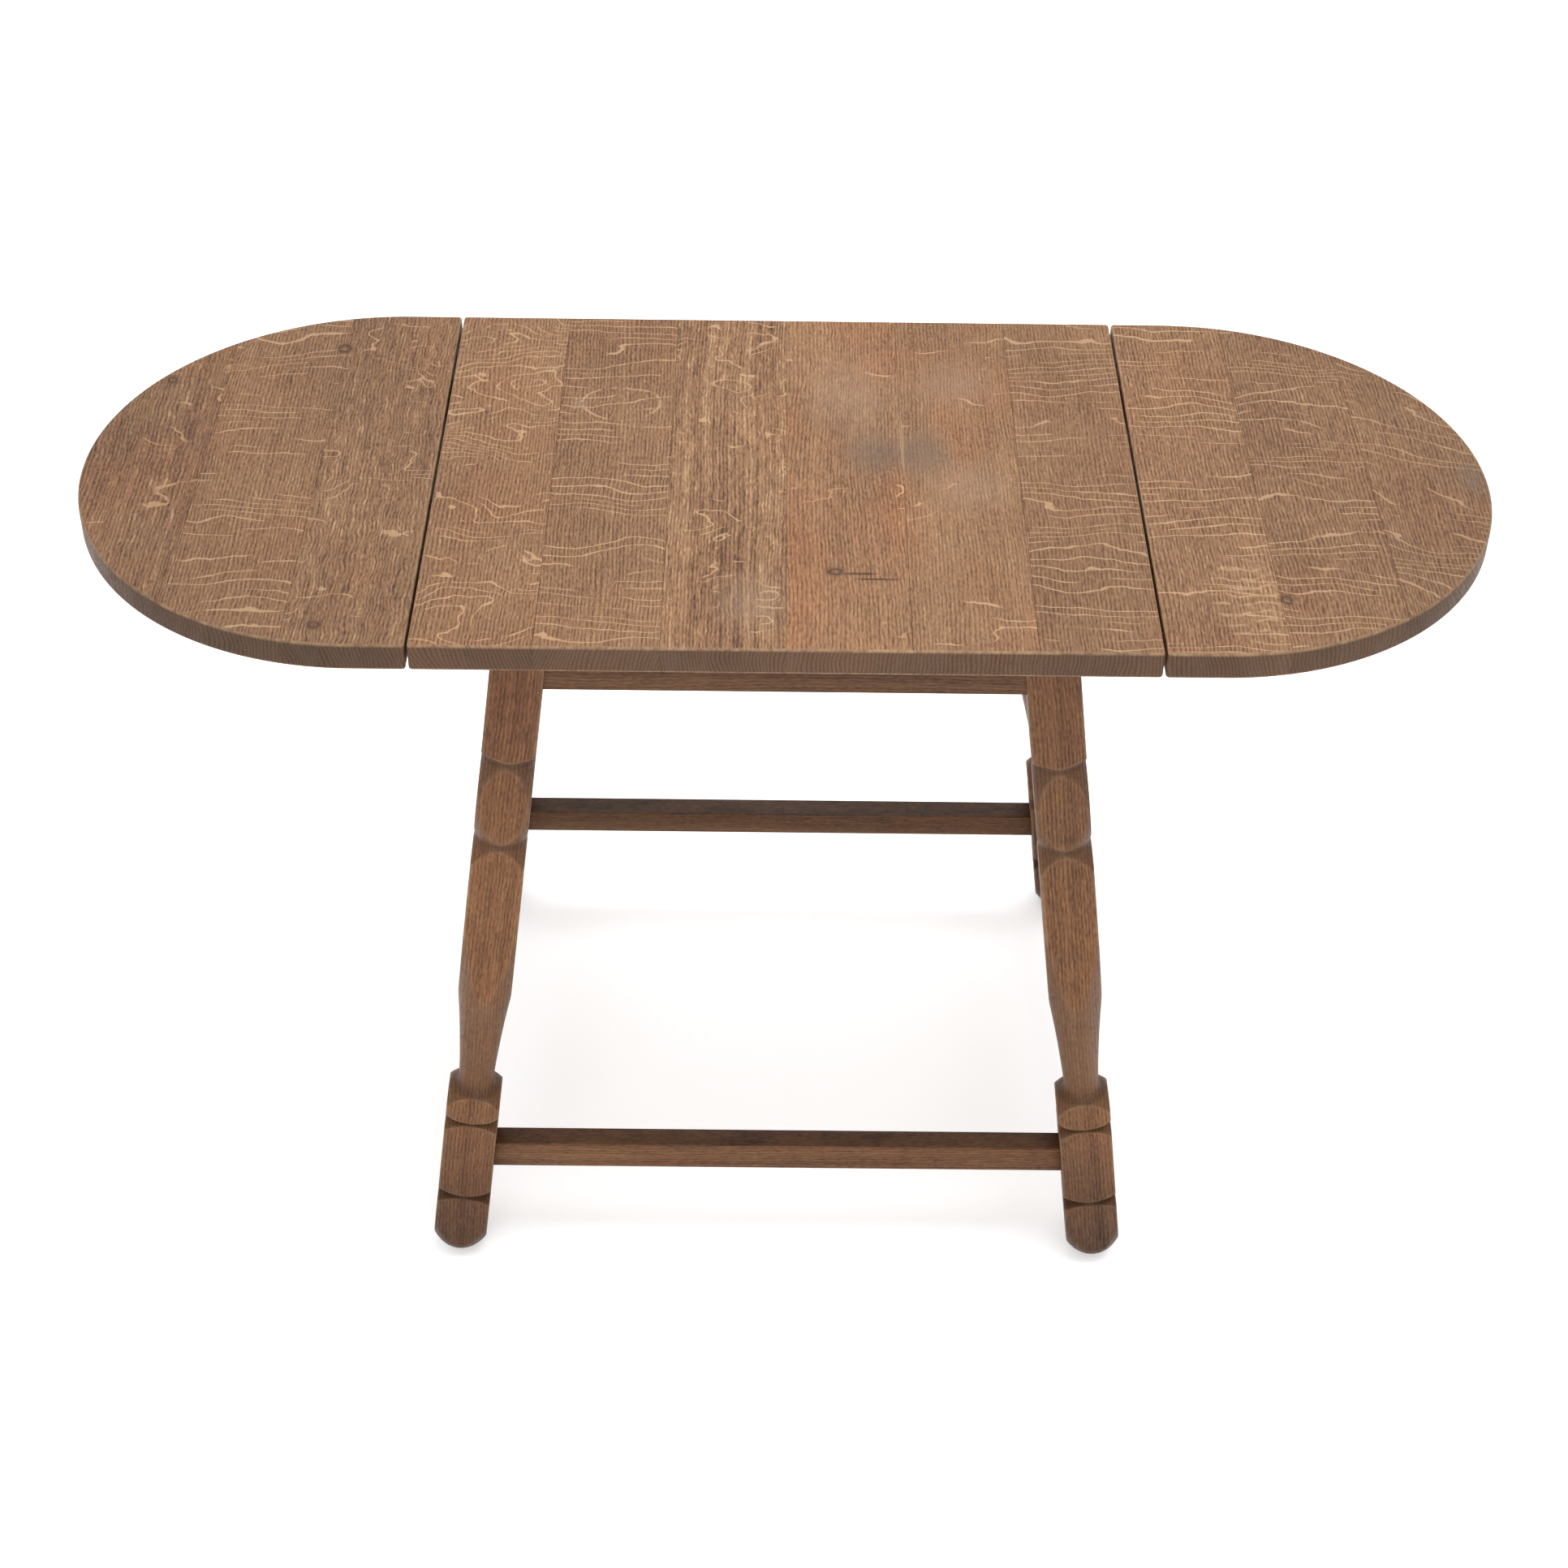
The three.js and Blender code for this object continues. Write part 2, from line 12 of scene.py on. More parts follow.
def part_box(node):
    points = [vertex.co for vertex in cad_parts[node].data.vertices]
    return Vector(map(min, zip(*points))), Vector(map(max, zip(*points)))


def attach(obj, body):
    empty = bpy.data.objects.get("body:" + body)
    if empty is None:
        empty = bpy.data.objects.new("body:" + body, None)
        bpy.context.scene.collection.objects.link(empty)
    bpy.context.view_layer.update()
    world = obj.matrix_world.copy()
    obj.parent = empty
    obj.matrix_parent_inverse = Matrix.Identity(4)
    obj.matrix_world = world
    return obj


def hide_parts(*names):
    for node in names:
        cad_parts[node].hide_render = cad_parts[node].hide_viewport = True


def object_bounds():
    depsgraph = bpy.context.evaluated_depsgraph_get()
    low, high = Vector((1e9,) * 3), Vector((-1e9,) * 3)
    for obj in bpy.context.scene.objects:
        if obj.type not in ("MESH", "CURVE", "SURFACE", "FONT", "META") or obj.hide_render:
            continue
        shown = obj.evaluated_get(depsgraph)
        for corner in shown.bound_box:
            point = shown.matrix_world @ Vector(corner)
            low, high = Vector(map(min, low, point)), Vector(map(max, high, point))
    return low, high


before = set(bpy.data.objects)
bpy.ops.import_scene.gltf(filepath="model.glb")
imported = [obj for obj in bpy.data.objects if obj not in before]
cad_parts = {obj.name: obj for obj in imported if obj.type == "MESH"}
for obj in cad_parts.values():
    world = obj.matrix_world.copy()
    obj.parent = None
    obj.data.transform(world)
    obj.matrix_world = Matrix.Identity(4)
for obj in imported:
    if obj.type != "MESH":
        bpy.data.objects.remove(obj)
cad_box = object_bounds()

# ---- Sizes read from the frame ----

TIP_X = cad_box[1].x
TOP_Z = cad_box[1].z
UNDER_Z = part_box("centre_stave_1")[0].z
HALF_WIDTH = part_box("centre_stave_1")[1].y
HINGE_X = (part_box("centre_stave_6")[1].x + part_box("right_leaf_stave_1")[0].x) / 2

# ---- Sizes that repeat the CAD's ----

# Gap between touching solids
CLEARANCE = 0.0003

# A leaf's front edge runs straight this far out from the hinge line
LEAF_STRAIGHT_END = HINGE_X + 0.047
FLAP_THICKNESS = 0.0018
BRACKET_THICKNESS = 0.0025

# Legs: centre lines at the level of the upper surface and at the floor, and the square blank's side there
LEG_TOP = (0.213, 0.1875)
LEG_FOOT = (0.3035, 0.2487)
LEG_SIDE = (0.0445, 0.049)

# The rear legs stand this much further out than in a regular frame, and the front legs this much less
LEG_PAIR_SPREAD = 0.0024

# ---- Sizes of the looks ----

# Each board grows at its seams until a hairline is left, and a little at the hinge gap
SEAM_LEFT = 0.00004
SEAM_CLOSE = (CLEARANCE - SEAM_LEFT) / 2
HINGE_CLOSE = 0.0005

# Radii of the boards' arrises and of their corners at the hinges
BOARD_ARRIS = 0.0026
BOARD_ARRIS_STEPS = 5
BOARD_CORNER = 0.003
CORNER_STEPS = 4
OVAL_STEPS = 44

# A ring of points just inside the arris keeps the flat faces flat
FLAT_MARGIN = 0.0006
LEG_ARRIS = 0.0011
RAIL_ARRIS = 0.0014
SHARP_DEGREES = 42


# ---- Material graphs ----


class Graph:
    """A material's node tree, with a short call for each kind of node used here."""

    def __init__(self, name):
        self.material = bpy.data.materials.new(name)
        self.material.use_nodes = True
        self.tree = self.material.node_tree
        self.shader = self.tree.nodes["Principled BSDF"]

    def plug(self, value, socket):
        if isinstance(value, bpy.types.NodeSocket):
            self.tree.links.new(value, socket)
        elif value is not None:
            socket.default_value = value

    def math(self, operation, first, second=None, third=None, clamp=False):
        node = self.tree.nodes.new("ShaderNodeMath")
        node.operation = operation
        node.use_clamp = clamp
        for value, socket in zip((first, second, third), node.inputs):
            self.plug(value, socket)
        return node.outputs[0]

    def stretch(self, vector, scale):
        node = self.tree.nodes.new("ShaderNodeVectorMath")
        node.operation = "MULTIPLY"
        self.plug(vector, node.inputs[0])
        node.inputs[1].default_value = scale
        return node.outputs[0]

    def shift(self, vector, offset):
        node = self.tree.nodes.new("ShaderNodeVectorMath")
        node.operation = "ADD"
        self.plug(vector, node.inputs[0])
        self.plug(offset, node.inputs[1])
        return node.outputs[0]

    def parts(self, vector):
        node = self.tree.nodes.new("ShaderNodeSeparateXYZ")
        self.plug(vector, node.inputs[0])
        return node.outputs[:3]

    def vector(self, x, y, z):
        node = self.tree.nodes.new("ShaderNodeCombineXYZ")
        for value, socket in zip((x, y, z), node.inputs):
            self.plug(value, socket)
        return node.outputs[0]

    def noise(self, vector, scale, detail=1.0, roughness=0.5, distortion=0.0, offset=None):
        """Noise of so many waves per metre on each axis. An offset sets it apart from the other fields."""
        vector = self.stretch(vector, scale)
        if offset:
            vector = self.shift(vector, offset)
        node = self.tree.nodes.new("ShaderNodeTexNoise")
        self.plug(vector, node.inputs["Vector"])
        node.inputs["Scale"].default_value = 1.0
        node.inputs["Detail"].default_value = detail
        node.inputs["Roughness"].default_value = roughness
        node.inputs["Distortion"].default_value = distortion
        return node.outputs["Fac"]

    def ease(self, value, low, high, to_low=0.0, to_high=1.0):
        """A smooth step from one value at low to another at high."""
        node = self.tree.nodes.new("ShaderNodeMapRange")
        node.interpolation_type = "SMOOTHSTEP"
        self.plug(value, node.inputs["Value"])
        self.plug(low, node.inputs["From Min"])
        self.plug(high, node.inputs["From Max"])
        node.inputs["To Min"].default_value = to_low
        node.inputs["To Max"].default_value = to_high
        return node.outputs[0]

    def wave(self, phase):
        """Rises from 0 to 1 and falls back, once for each whole step of the phase."""
        return self.math("MULTIPLY", self.math("PINGPONG", phase, 0.5), 2.0)

    def mix(self, share, first, second, blend="MIX"):
        node = self.tree.nodes.new("ShaderNodeMix")
        node.data_type = "RGBA"
        node.blend_type = blend
        self.plug(share, node.inputs["Factor"])
        self.plug(first, node.inputs[6])
        self.plug(second, node.inputs[7])
        return node.outputs[2]

    def tint(self, share, colour, factor):
        """Multiplies a colour by a plain factor, as far as the share says."""
        return self.mix(share, colour, (factor, factor, factor, 1.0), "MULTIPLY")

    def ramp(self, value, stops):
        node = self.tree.nodes.new("ShaderNodeValToRGB")
        self.plug(value, node.inputs["Fac"])
        elements = node.color_ramp.elements
        while len(elements) < len(stops):
            elements.new(0.5)
        for element, (position, colour) in zip(elements, stops):
            element.position = position
            element.color = colour
        return node.outputs["Color"]

    def attribute(self, name, output="Fac"):
        node = self.tree.nodes.new("ShaderNodeAttribute")
        node.attribute_name = name
        return node.outputs[output]

    def place(self):
        """The place on the part at rest, in metres."""
        return self.tree.nodes.new("ShaderNodeTexCoord").outputs["Object"]

    def distance(self, vector, centre, radii):
        """Distance from a centre, measured in radii of an ellipsoid."""
        offset = self.shift(vector, tuple(-value for value in centre))
        scaled = self.stretch(offset, tuple(1 / value for value in radii))
        node = self.tree.nodes.new("ShaderNodeVectorMath")
        node.operation = "LENGTH"
        self.plug(scaled, node.inputs[0])
        return node.outputs["Value"]

    def bump(self, height, strength, distance):
        node = self.tree.nodes.new("ShaderNodeBump")
        node.inputs["Strength"].default_value = strength
        node.inputs["Distance"].default_value = distance
        self.plug(height, node.inputs["Height"])
        return node.outputs[0]


def srgb(red, green, blue):
    """Linear colour from 8-bit display values."""
    def linear(value):
        share = value / 255
        return share / 12.92 if share <= 0.04045 else ((share + 0.055) / 1.055) ** 2.4
    return (linear(red), linear(green), linear(blue), 1.0)


# Colours as they look under the studio light, brought down to the paint that gives them
LIGHT_GAIN = 2.2


def seen(red, green, blue):
    """The paint that shows as this display colour on an upward face."""
    return tuple(value / LIGHT_GAIN for value in srgb(red, green, blue)[:3]) + (1.0,)


# ---- Oak ----

# From the pores and the dark wood, through the middle tone, to the palest ray flecks
TOP_OAK = {
    "deep": seen(82, 50, 29), "dark": seen(120, 81, 51), "base": seen(157, 113, 77),
    "pale": seen(183, 139, 98), "fleck": seen(222, 182, 138),
    # The sheen colour is for painted sheen on pale patches of the upper surface
    "grey": seen(128, 106, 88), "sheen": seen(190, 160, 132),
    "end": seen(134, 98, 71), "end_dark": seen(80, 55, 38), "worn": seen(214, 174, 134),
}

# The under-frame: darker, and seen on upright faces, which catch about half the light
LEG_OAK = {
    "deep": seen(74, 41, 20), "dark": seen(108, 67, 36), "base": seen(142, 93, 53),
    "pale": seen(168, 117, 71), "fleck": seen(190, 144, 96),
    "grey": seen(116, 84, 60), "sheen": seen(150, 122, 96),
    "end": seen(110, 78, 52), "end_dark": seen(50, 33, 23), "worn": seen(190, 147, 106),
}

# Where each colour of a palette stands on the scale from pore to ray fleck
GRAIN_STOPS = (("deep", 0.0), ("dark", 0.27), ("base", 0.5), ("pale", 0.74), ("fleck", 1.0))
RAY_LEVEL = 0.96

# Tints of the redder patches, and the painted shade on the upright rim at the rounded ends
WARM_TINT = (1.10, 0.93, 0.82, 1.0)
RIM_SHADE_TINT = (0.70, 0.68, 0.65, 1.0)
RINGS_PER_METRE = 310.0

# What differs from board to board. Ray figure: lines per metre along the grain, how far they sway, in line
# spacings, their slant, how often they break into runs, the share of the board that rays cover, and the small
# flakes. Strengths: shiver of the rings, growth stripes, short ticks, fine grain, warm patches and the
# darkening mask, which paints shade in the leg grooves and darkens upward faces of the rails. Brightness:
# tone for the whole board and edge for its rim, where edge paints shade below one and light above one.
# Upright parts get soil towards the floor and painted light and shade along their height, and the other parts
# get the marks of the upper surface.
BOARD = {
    "lines": 70.0, "sway": 3.0, "slant": 0.0, "runs": 18.0, "rays": 0.5, "flakes": 0.4,
    "shiver": 1.0, "stripes": 0.35, "ticks": 0.3, "grain": 0.72, "warm": 0.3, "darkening_strength": 0.6,
    "tone": 1.0, "edge": 1.0, "upright": False,
}

# Marks on the upper surface: x, y, half of the size across and along the grain, and the kind. Sheen patches
# are painted sheen.
MARKS = [
    (-0.549, 0.137, 0.006, 0.007, "knot"), (-0.402, 0.194, 0.008, 0.009, "knot"),
    (-0.375, -0.229, 0.006, 0.006, "knot"), (0.040, -0.148, 0.008, 0.006, "knot"),
    (0.405, -0.180, 0.006, 0.008, "knot"),
    (0.060, -0.1505, 0.016, 0.0020, "crack"), (0.074, -0.158, 0.020, 0.0016, "crack"),
    (0.118, 0.030, 0.024, 0.038, "stain"), (0.078, 0.028, 0.028, 0.034, "stain"),
    (0.155, -0.020, 0.036, 0.040, "sheen patch"), (0.590, 0.001, 0.012, 0.028, "stain"),
    (0.056, 0.125, 0.040, 0.070, "sheen patch"), (0.150, 0.145, 0.040, 0.040, "sheen patch"),
    (-0.184, 0.104, 0.008, 0.009, "sheen patch"), (-0.030, -0.190, 0.030, 0.040, "sheen patch"),
    (0.1002, 0.046, 0.0014, 0.062, "pale line"), (-0.147, 0.106, 0.034, 0.026, "oval"),
    (0.372, -0.178, 0.030, 0.066, "ripple"),
]
MARK_DEPTH = 0.02

# Plain marks: how far out they begin and where they are full, in half sizes, their strength and their colour
PLAIN_MARKS = {
    "stain": (1.5, 0.1, 0.62, "grey"),
    # Sheen patches: painted sheen
    "sheen patch": (1.5, 0.0, 0.34, "sheen"),
    "pale line": (1.2, 0.6, 0.55, "fleck"),
    "crack": (1.2, 0.6, 0.8, "deep"),
}


def wood_fields(g, board):
    """The masks and fields that the wood's colour, gloss and relief share. The grain attribute holds x across
    the rings, y along the grain and z through them."""
    wood = SimpleNamespace()
    wood.end = g.attribute("end")
    wood.turned = g.attribute("turned")
    wood.straight = g.attribute("grain", "Vector")
    wander = g.noise(wood.straight, (6.0, 3.2, 6.0))
    shiver = g.noise(wood.straight, (70.0, 50.0, 70.0))
    bend = g.math("MULTIPLY_ADD", wander, 0.016, -0.008)
    bend = g.math("MULTIPLY_ADD", shiver, 0.0024 * board["shiver"], bend)
    wood.grain = g.shift(wood.straight, g.vector(bend, 0.0, 0.0))

    # Growth rings: a dark line of pores every few millimetres, broken into dashes
    spacing = g.noise(wood.grain, (22.0, 1.0, 12.0))
    across = g.parts(wood.grain)[0]
    wood.phase = g.math("MULTIPLY_ADD", across, RINGS_PER_METRE, g.math("MULTIPLY", spacing, 5.0))
    wood.line = g.ease(g.wave(wood.phase), 0.0, 0.75)
    wood.dash = g.noise(wood.grain, (260.0, 60.0, 260.0))

    # Streaks along the grain from wide to fine, then slow changes of tone
    wood.stripe = g.noise(wood.grain, (110.0, 1.6, 30.0), 3.0, 0.62)
    wood.tick = g.noise(wood.grain, (300.0, 38.0, 300.0), 1.0, 0.5, 0.3, offset=(8.2, 3.1, 6.6))
    wood.cord = g.noise(wood.grain, (600.0, 60.0, 600.0))
    wood.pore = g.noise(wood.grain, (850.0, 190.0, 850.0), 0.0, offset=(3.7, 9.1, 5.3))
    wood.dots = g.noise(wood.grain, (900.0, 1.0, 500.0))
    wood.blotch = g.noise(wood.straight, (7.0, 5.0, 7.0), 3.0, 0.6)
    wood.patch = g.noise(wood.straight, (11.0, 6.0, 9.0), 2.0, offset=(5.1, 2.2, 8.4))

    # Rays show on long grain only, and faintly where it is turned
    hidden = g.math("MAXIMUM", g.math("MULTIPLY", wood.turned, 0.7), wood.end)
    flat = g.math("SUBTRACT", 1.0, hidden, clamp=True)
    wood.rays = g.math("MULTIPLY", ray_figure(g, wood.grain, board), flat)
    return wood


def ray_figure(g, grain, board):
    """Pale ray lines across the grain: contour lines of a slow field, each broken into its own runs."""
    x, y, z = g.parts(grain)
    slow = g.noise(grain, (13.0, 20.0, 30.0), 1.0, 0.45)
    kink = g.noise(grain, (75.0, 90.0, 60.0), offset=(2.3, 8.7, 1.1))
    crowd = g.noise(grain, (2.5, 12.0, 8.0))
    field = g.math("MULTIPLY", y, board["lines"])
    field = g.math("MULTIPLY_ADD", x, board["lines"] * board["slant"], field)
    field = g.math("MULTIPLY_ADD", slow, 2.2 * board["sway"], field)
    field = g.math("MULTIPLY_ADD", kink, 0.16 * board["sway"] + 0.12, field)
    field = g.math("MULTIPLY_ADD", crowd, 6.0, field)
    to_line = g.math("PINGPONG", field, 0.5)

    # A line shows where its own run is on, and more runs are on where rays cover the board
    own = g.math("MULTIPLY", g.math("ROUND", field), 5.7)
    run = g.noise(g.vector(x, own, z), (board["runs"], 1.0, 20.0))
    cover = g.noise(grain, (12.0, 16.0, 20.0))
    start = g.math("MULTIPLY_ADD", g.ease(cover, 0.35, 0.6), -0.14, 0.70 - 0.25 * board["rays"])
    here = g.ease(g.math("SUBTRACT", run, start), 0.0, 0.12)
    swell = g.noise(grain, (90.0, 140.0, 90.0), offset=(6.1, 3.3, 2.9))
    width = g.math("MULTIPLY", here, g.ease(swell, 0.45, 0.78, 0.075, 0.12))
    lines = g.ease(g.math("SUBTRACT", width, to_line), -0.012, 0.045)
    lines = g.math("MULTIPLY", lines, g.ease(here, 0.0, 1.0, 0.4, 0.9))

    # Small broken flecks between the lines
    small = g.noise(grain, (170.0, 330.0, 150.0), 2.0, 0.6, 0.8, offset=(7.3, 1.7, 4.1))
    more = 0.08 * board["flakes"]
    flakes = g.ease(small, 0.72 - more, 0.80 - more, 0.0, 0.75)
    return g.math("MAXIMUM", lines, flakes)


def face_colour(g, wood, board, palette):
    """Long grain: every field moves one level up or down, and the level picks the colour."""
    fine = board["grain"]
    broken = g.ease(wood.dash, 0.3, 0.62, 0.15 * fine, 0.5 * fine)
    level = g.math("MULTIPLY", g.math("ADD", wood.line, -0.62), broken)
    level = g.math("ADD", level, 0.5)
    swings = ((wood.cord, 0.7 * fine), (wood.pore, 0.75 * fine), (wood.stripe, 1.3 * board["stripes"]),
              (wood.blotch, 0.4))
    for field, swing in swings:
        level = g.math("MULTIPLY_ADD", field, swing, g.math("SUBTRACT", level, swing / 2))
    level = g.math("MULTIPLY_ADD", g.ease(wood.tick, 0.58, 0.7), 0.4 * board["ticks"], level)
    level = g.math("MULTIPLY_ADD", g.ease(wood.tick, 0.42, 0.3), -0.36 * board["ticks"], level)
    level = g.math("MULTIPLY_ADD", wood.rays, g.math("SUBTRACT", RAY_LEVEL, level), level)
    colour = g.ramp(level, [(stop, palette[name]) for name, stop in GRAIN_STOPS])
    warm = g.math("MULTIPLY", g.ease(wood.patch, 0.42, 0.68), board["warm"])
    return g.mix(warm, colour, WARM_TINT, "MULTIPLY")


def end_colour(g, wood, palette):
    """End grain: upright ring lines, pore dots and grey streaks."""
    lean = g.noise(wood.grain, (9.0, 1.0, 25.0))
    ring = g.ease(g.wave(g.math("MULTIPLY_ADD", lean, 5.0, wood.phase)), 0.0, 0.6)
    share = g.math("MULTIPLY_ADD", ring, 0.62, g.ease(wood.blotch, 0.3, 0.7, 0.0, 0.42))
    colour = g.mix(share, palette["end_dark"], palette["end"])
    colour = g.mix(g.ease(wood.dots, 0.5, 0.7, 0.0, 0.45), colour, palette["end_dark"])
    return g.mix(g.ease(wood.stripe, 0.45, 0.7, 0.0, 0.2), colour, palette["grey"])


def rim_colour(g, colour, wood, board):
    """The rim of the top gets painted shade or light from the board's edge brightness, and more painted shade
    on the upright rim at the rounded ends, where end grain does not show.
    """
    side = g.attribute("side")
    rim_shade = g.math("MULTIPLY", side, g.math("SUBTRACT", 1.0, wood.end))
    colour = g.tint(side, colour, board["edge"])
    return g.mix(rim_shade, colour, RIM_SHADE_TINT, "MULTIPLY")


def aged_colour(g, colour, wood, board, palette):
    """Turned surfaces are greyer, with dark creases. Worn arrises are paler. The darkening mask paints shade
    in the grooves of the legs and makes upward faces of the rails darker.
    """
    colour = g.mix(g.math("MULTIPLY", wood.turned, 0.42), colour, palette["grey"])
    crease = g.math("MULTIPLY", wood.turned, g.math("SUBTRACT", 1.0, wood.turned))
    colour = g.mix(g.ease(crease, 0.05, 0.25, 0.0, 0.4), colour, palette["dark"])
    breakup = g.noise(wood.straight, (160.0, 60.0, 160.0), 3.0, 0.6)
    rub = g.math("MULTIPLY", g.attribute("wear"), g.ease(breakup, 0.3, 0.7, 0.3, 1.0))
    colour = g.mix(g.math("MULTIPLY", rub, 0.8), colour, palette["worn"])
    # The darkening mask: painted shade in the leg grooves, and darker upward faces on the rails
    darkening = g.math("MULTIPLY", g.attribute("darkening"), g.ease(breakup, 0.2, 0.8, 0.6, 1.0))
    colour = g.mix(g.math("MULTIPLY", darkening, board["darkening_strength"]), colour, palette["end_dark"])
    return g.tint(1.0, colour, board["tone"])


def soiled_and_shaded_colour(g, colour):
    """A leg is darker towards the floor, where it is soiled, lighter in its middle with painted light, and a
    little darker towards its top with painted shade under the table top.
    """
    height = g.parts(g.place())[2]
    soil_and_shade = g.math("MULTIPLY", g.ease(height, -0.06, 0.30, 0.40, 1.2), g.ease(height, 0.38, 0.52, 1.0, 0.82))
    return g.mix(1.0, colour, g.vector(soil_and_shade, soil_and_shade, soil_and_shade), "MULTIPLY")


def marked_colour(g, colour, palette):
    """The upper surface's marks, each laid over the colour at its place."""
    place = g.place()
    wobble = g.noise(place, (90.0, 90.0, 90.0), 2.0)
    drift = g.noise(place, (40.0, 25.0, 40.0))
    for x, y, across, along, kind in MARKS:
        reach = g.distance(place, (x, y, TOP_Z), (across, along, MARK_DEPTH))
        ragged = g.math("ADD", reach, g.math("MULTIPLY_ADD", wobble, 0.7, -0.35))
        if kind in PLAIN_MARKS:
            begin, full, strength, paint = PLAIN_MARKS[kind]
            colour = g.mix(g.ease(ragged, begin, full, 0.0, strength), colour, palette[paint])
        elif kind == "oval":
            colour = oval_mark(g, colour, reach, wobble, drift, palette)
        elif kind == "ripple":
            colour = ripple_mark(g, colour, place, ragged, wobble, drift, palette)
        else:
            colour = knot_mark(g, colour, ragged, palette)
    return colour


def oval_mark(g, colour, reach, wobble, drift, palette):
    """A pale ring of ray figure with breaks in it."""
    off_ring = g.math("ABSOLUTE", g.math("SUBTRACT", g.math("MULTIPLY_ADD", drift, 0.3, reach), 1.15))
    ring = g.math("MULTIPLY", g.ease(off_ring, 0.06, 0.03, 0.0, 0.6), g.ease(wobble, 0.42, 0.52))
    return g.mix(ring, colour, palette["fleck"])


def ripple_mark(g, colour, place, ragged, wobble, drift, palette):
    """A patch of close, short ray lines."""
    x, y, _ = g.parts(place)
    bend = g.math("MULTIPLY_ADD", x, -3.0, g.math("MULTIPLY", drift, 1.6))
    row = g.math("PINGPONG", g.math("MULTIPLY_ADD", y, 78.0, bend), 0.5)
    inside = g.math("MULTIPLY", g.ease(ragged, 1.05, 0.75), g.ease(wobble, 0.36, 0.5, 0.1, 1.0))
    lines = g.math("MULTIPLY", g.ease(row, 0.17, 0.08, 0.0, 0.5), inside)
    return g.mix(lines, colour, palette["fleck"])


def knot_mark(g, colour, ragged, palette):
    """A small knot: a dark patch with a darker ring."""
    colour = g.mix(g.ease(ragged, 1.5, 0.9, 0.0, 0.5), colour, palette["dark"])
    off_ring = g.math("ABSOLUTE", g.math("SUBTRACT", ragged, 0.62))
    return g.mix(g.ease(off_ring, 0.3, 0.12, 0.0, 0.75), colour, palette["deep"])


def finish_wood(g, wood, polish):
    """Gloss and relief: pores are dull and sunk, rays stand up and shine a little."""
    rough = g.ease(wood.stripe, 0.2, 0.8, polish + 0.08, polish - 0.04)
    rough = g.math("MULTIPLY_ADD", wood.rays, -0.07, rough)
    rough = g.math("MULTIPLY_ADD", wood.end, 0.14, rough)
    rough = g.math("MULTIPLY_ADD", g.ease(wood.pore, 0.5, 0.3), 0.12, rough)
    g.plug(rough, g.shader.inputs["Roughness"])
    g.shader.inputs["Specular IOR Level"].default_value = 0.26
    relief = g.math("MULTIPLY_ADD", wood.line, 0.6, g.math("ADD", wood.cord, wood.pore))
    relief = g.math("MULTIPLY", relief, g.math("SUBTRACT", 1.0, wood.end))
    relief = g.math("MULTIPLY_ADD", wood.rays, 0.3, relief)
    relief = g.math("MULTIPLY_ADD", g.math("MULTIPLY", wood.dots, wood.end), -0.8, relief)
    g.plug(g.bump(relief, 0.45, 0.0005), g.shader.inputs["Normal"])


def oak(name, palette, board, polish=0.5):
    """Quarter-sawn oak, with the board's own settings over the common ones."""
    board = {**BOARD, **board}
    g = Graph(name)
    wood = wood_fields(g, board)
    colour = g.mix(wood.end, face_colour(g, wood, board, palette), end_colour(g, wood, palette))
    colour = rim_colour(g, colour, wood, board)
    colour = aged_colour(g, colour, wood, board, palette)
    if board["upright"]:
        colour = soiled_and_shaded_colour(g, colour)
    else:
        colour = marked_colour(g, colour, palette)
    g.plug(colour, g.shader.inputs["Base Color"])
    finish_wood(g, wood, polish)
    return g.material


# ---- Metal ----


def metal(name, base, dark, roughness):
    """Dull metal with darker clouds and specks, and fine scratches."""
    g = Graph(name)
    place = g.place()
    cloud = g.noise(place, (55.0, 55.0, 55.0), 3.0)
    speck = g.noise(place, (900.0, 900.0, 900.0), 2.0, 0.6)
    scratch = g.noise(place, (300.0, 2600.0, 900.0), 2.0, 0.6)
    colour = g.mix(g.ease(cloud, 0.3, 0.7), dark, base)
    colour = g.mix(g.ease(speck, 0.55, 0.75, 0.0, 0.5), colour, dark)
    colour = g.mix(g.ease(scratch, 0.6, 0.75, 0.0, 0.3), colour, base)
    g.plug(colour, g.shader.inputs["Base Color"])
    g.shader.inputs["Metallic"].default_value = 0.85
    g.plug(g.ease(cloud, 0.3, 0.8, roughness + 0.08, roughness - 0.05), g.shader.inputs["Roughness"])
    g.plug(g.bump(scratch, 0.1, 0.00006), g.shader.inputs["Normal"])
    return g.material


# ---- Mesh helpers ----


def new_piece(name, points, faces, material, body, slot, *nodes):
    mesh = bpy.data.meshes.new(name)
    mesh.from_pydata([tuple(p) for p in points], [], faces)
    mesh.validate()
    piece = bpy.data.objects.new(name, mesh)
    bpy.context.scene.collection.objects.link(piece)
    mesh.materials.append(material)
    mesh.polygons.foreach_set("use_smooth", [True] * len(mesh.polygons))
    mesh.set_sharp_from_angle(angle=math.radians(SHARP_DEGREES))
    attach(piece, body)
    if nodes:
        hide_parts(*nodes)
    return piece


def set_grain(piece, points):
    data = piece.data.attributes.new("grain", "FLOAT_VECTOR", "POINT").data
    data.foreach_set("vector", [value for point in points for value in point])


def set_mask(piece, name, values):
    piece.data.attributes.new(name, "FLOAT", "POINT").data.foreach_set("value", values)


def grain_shift(rng):
    """A place in the noise for one part of its own."""
    return rng.uniform(0, 9), rng.uniform(0, 9), rng.uniform(0, 9)


def unit(value):
    """The value held between 0 and 1."""
    return max(0.0, min(1.0, value))


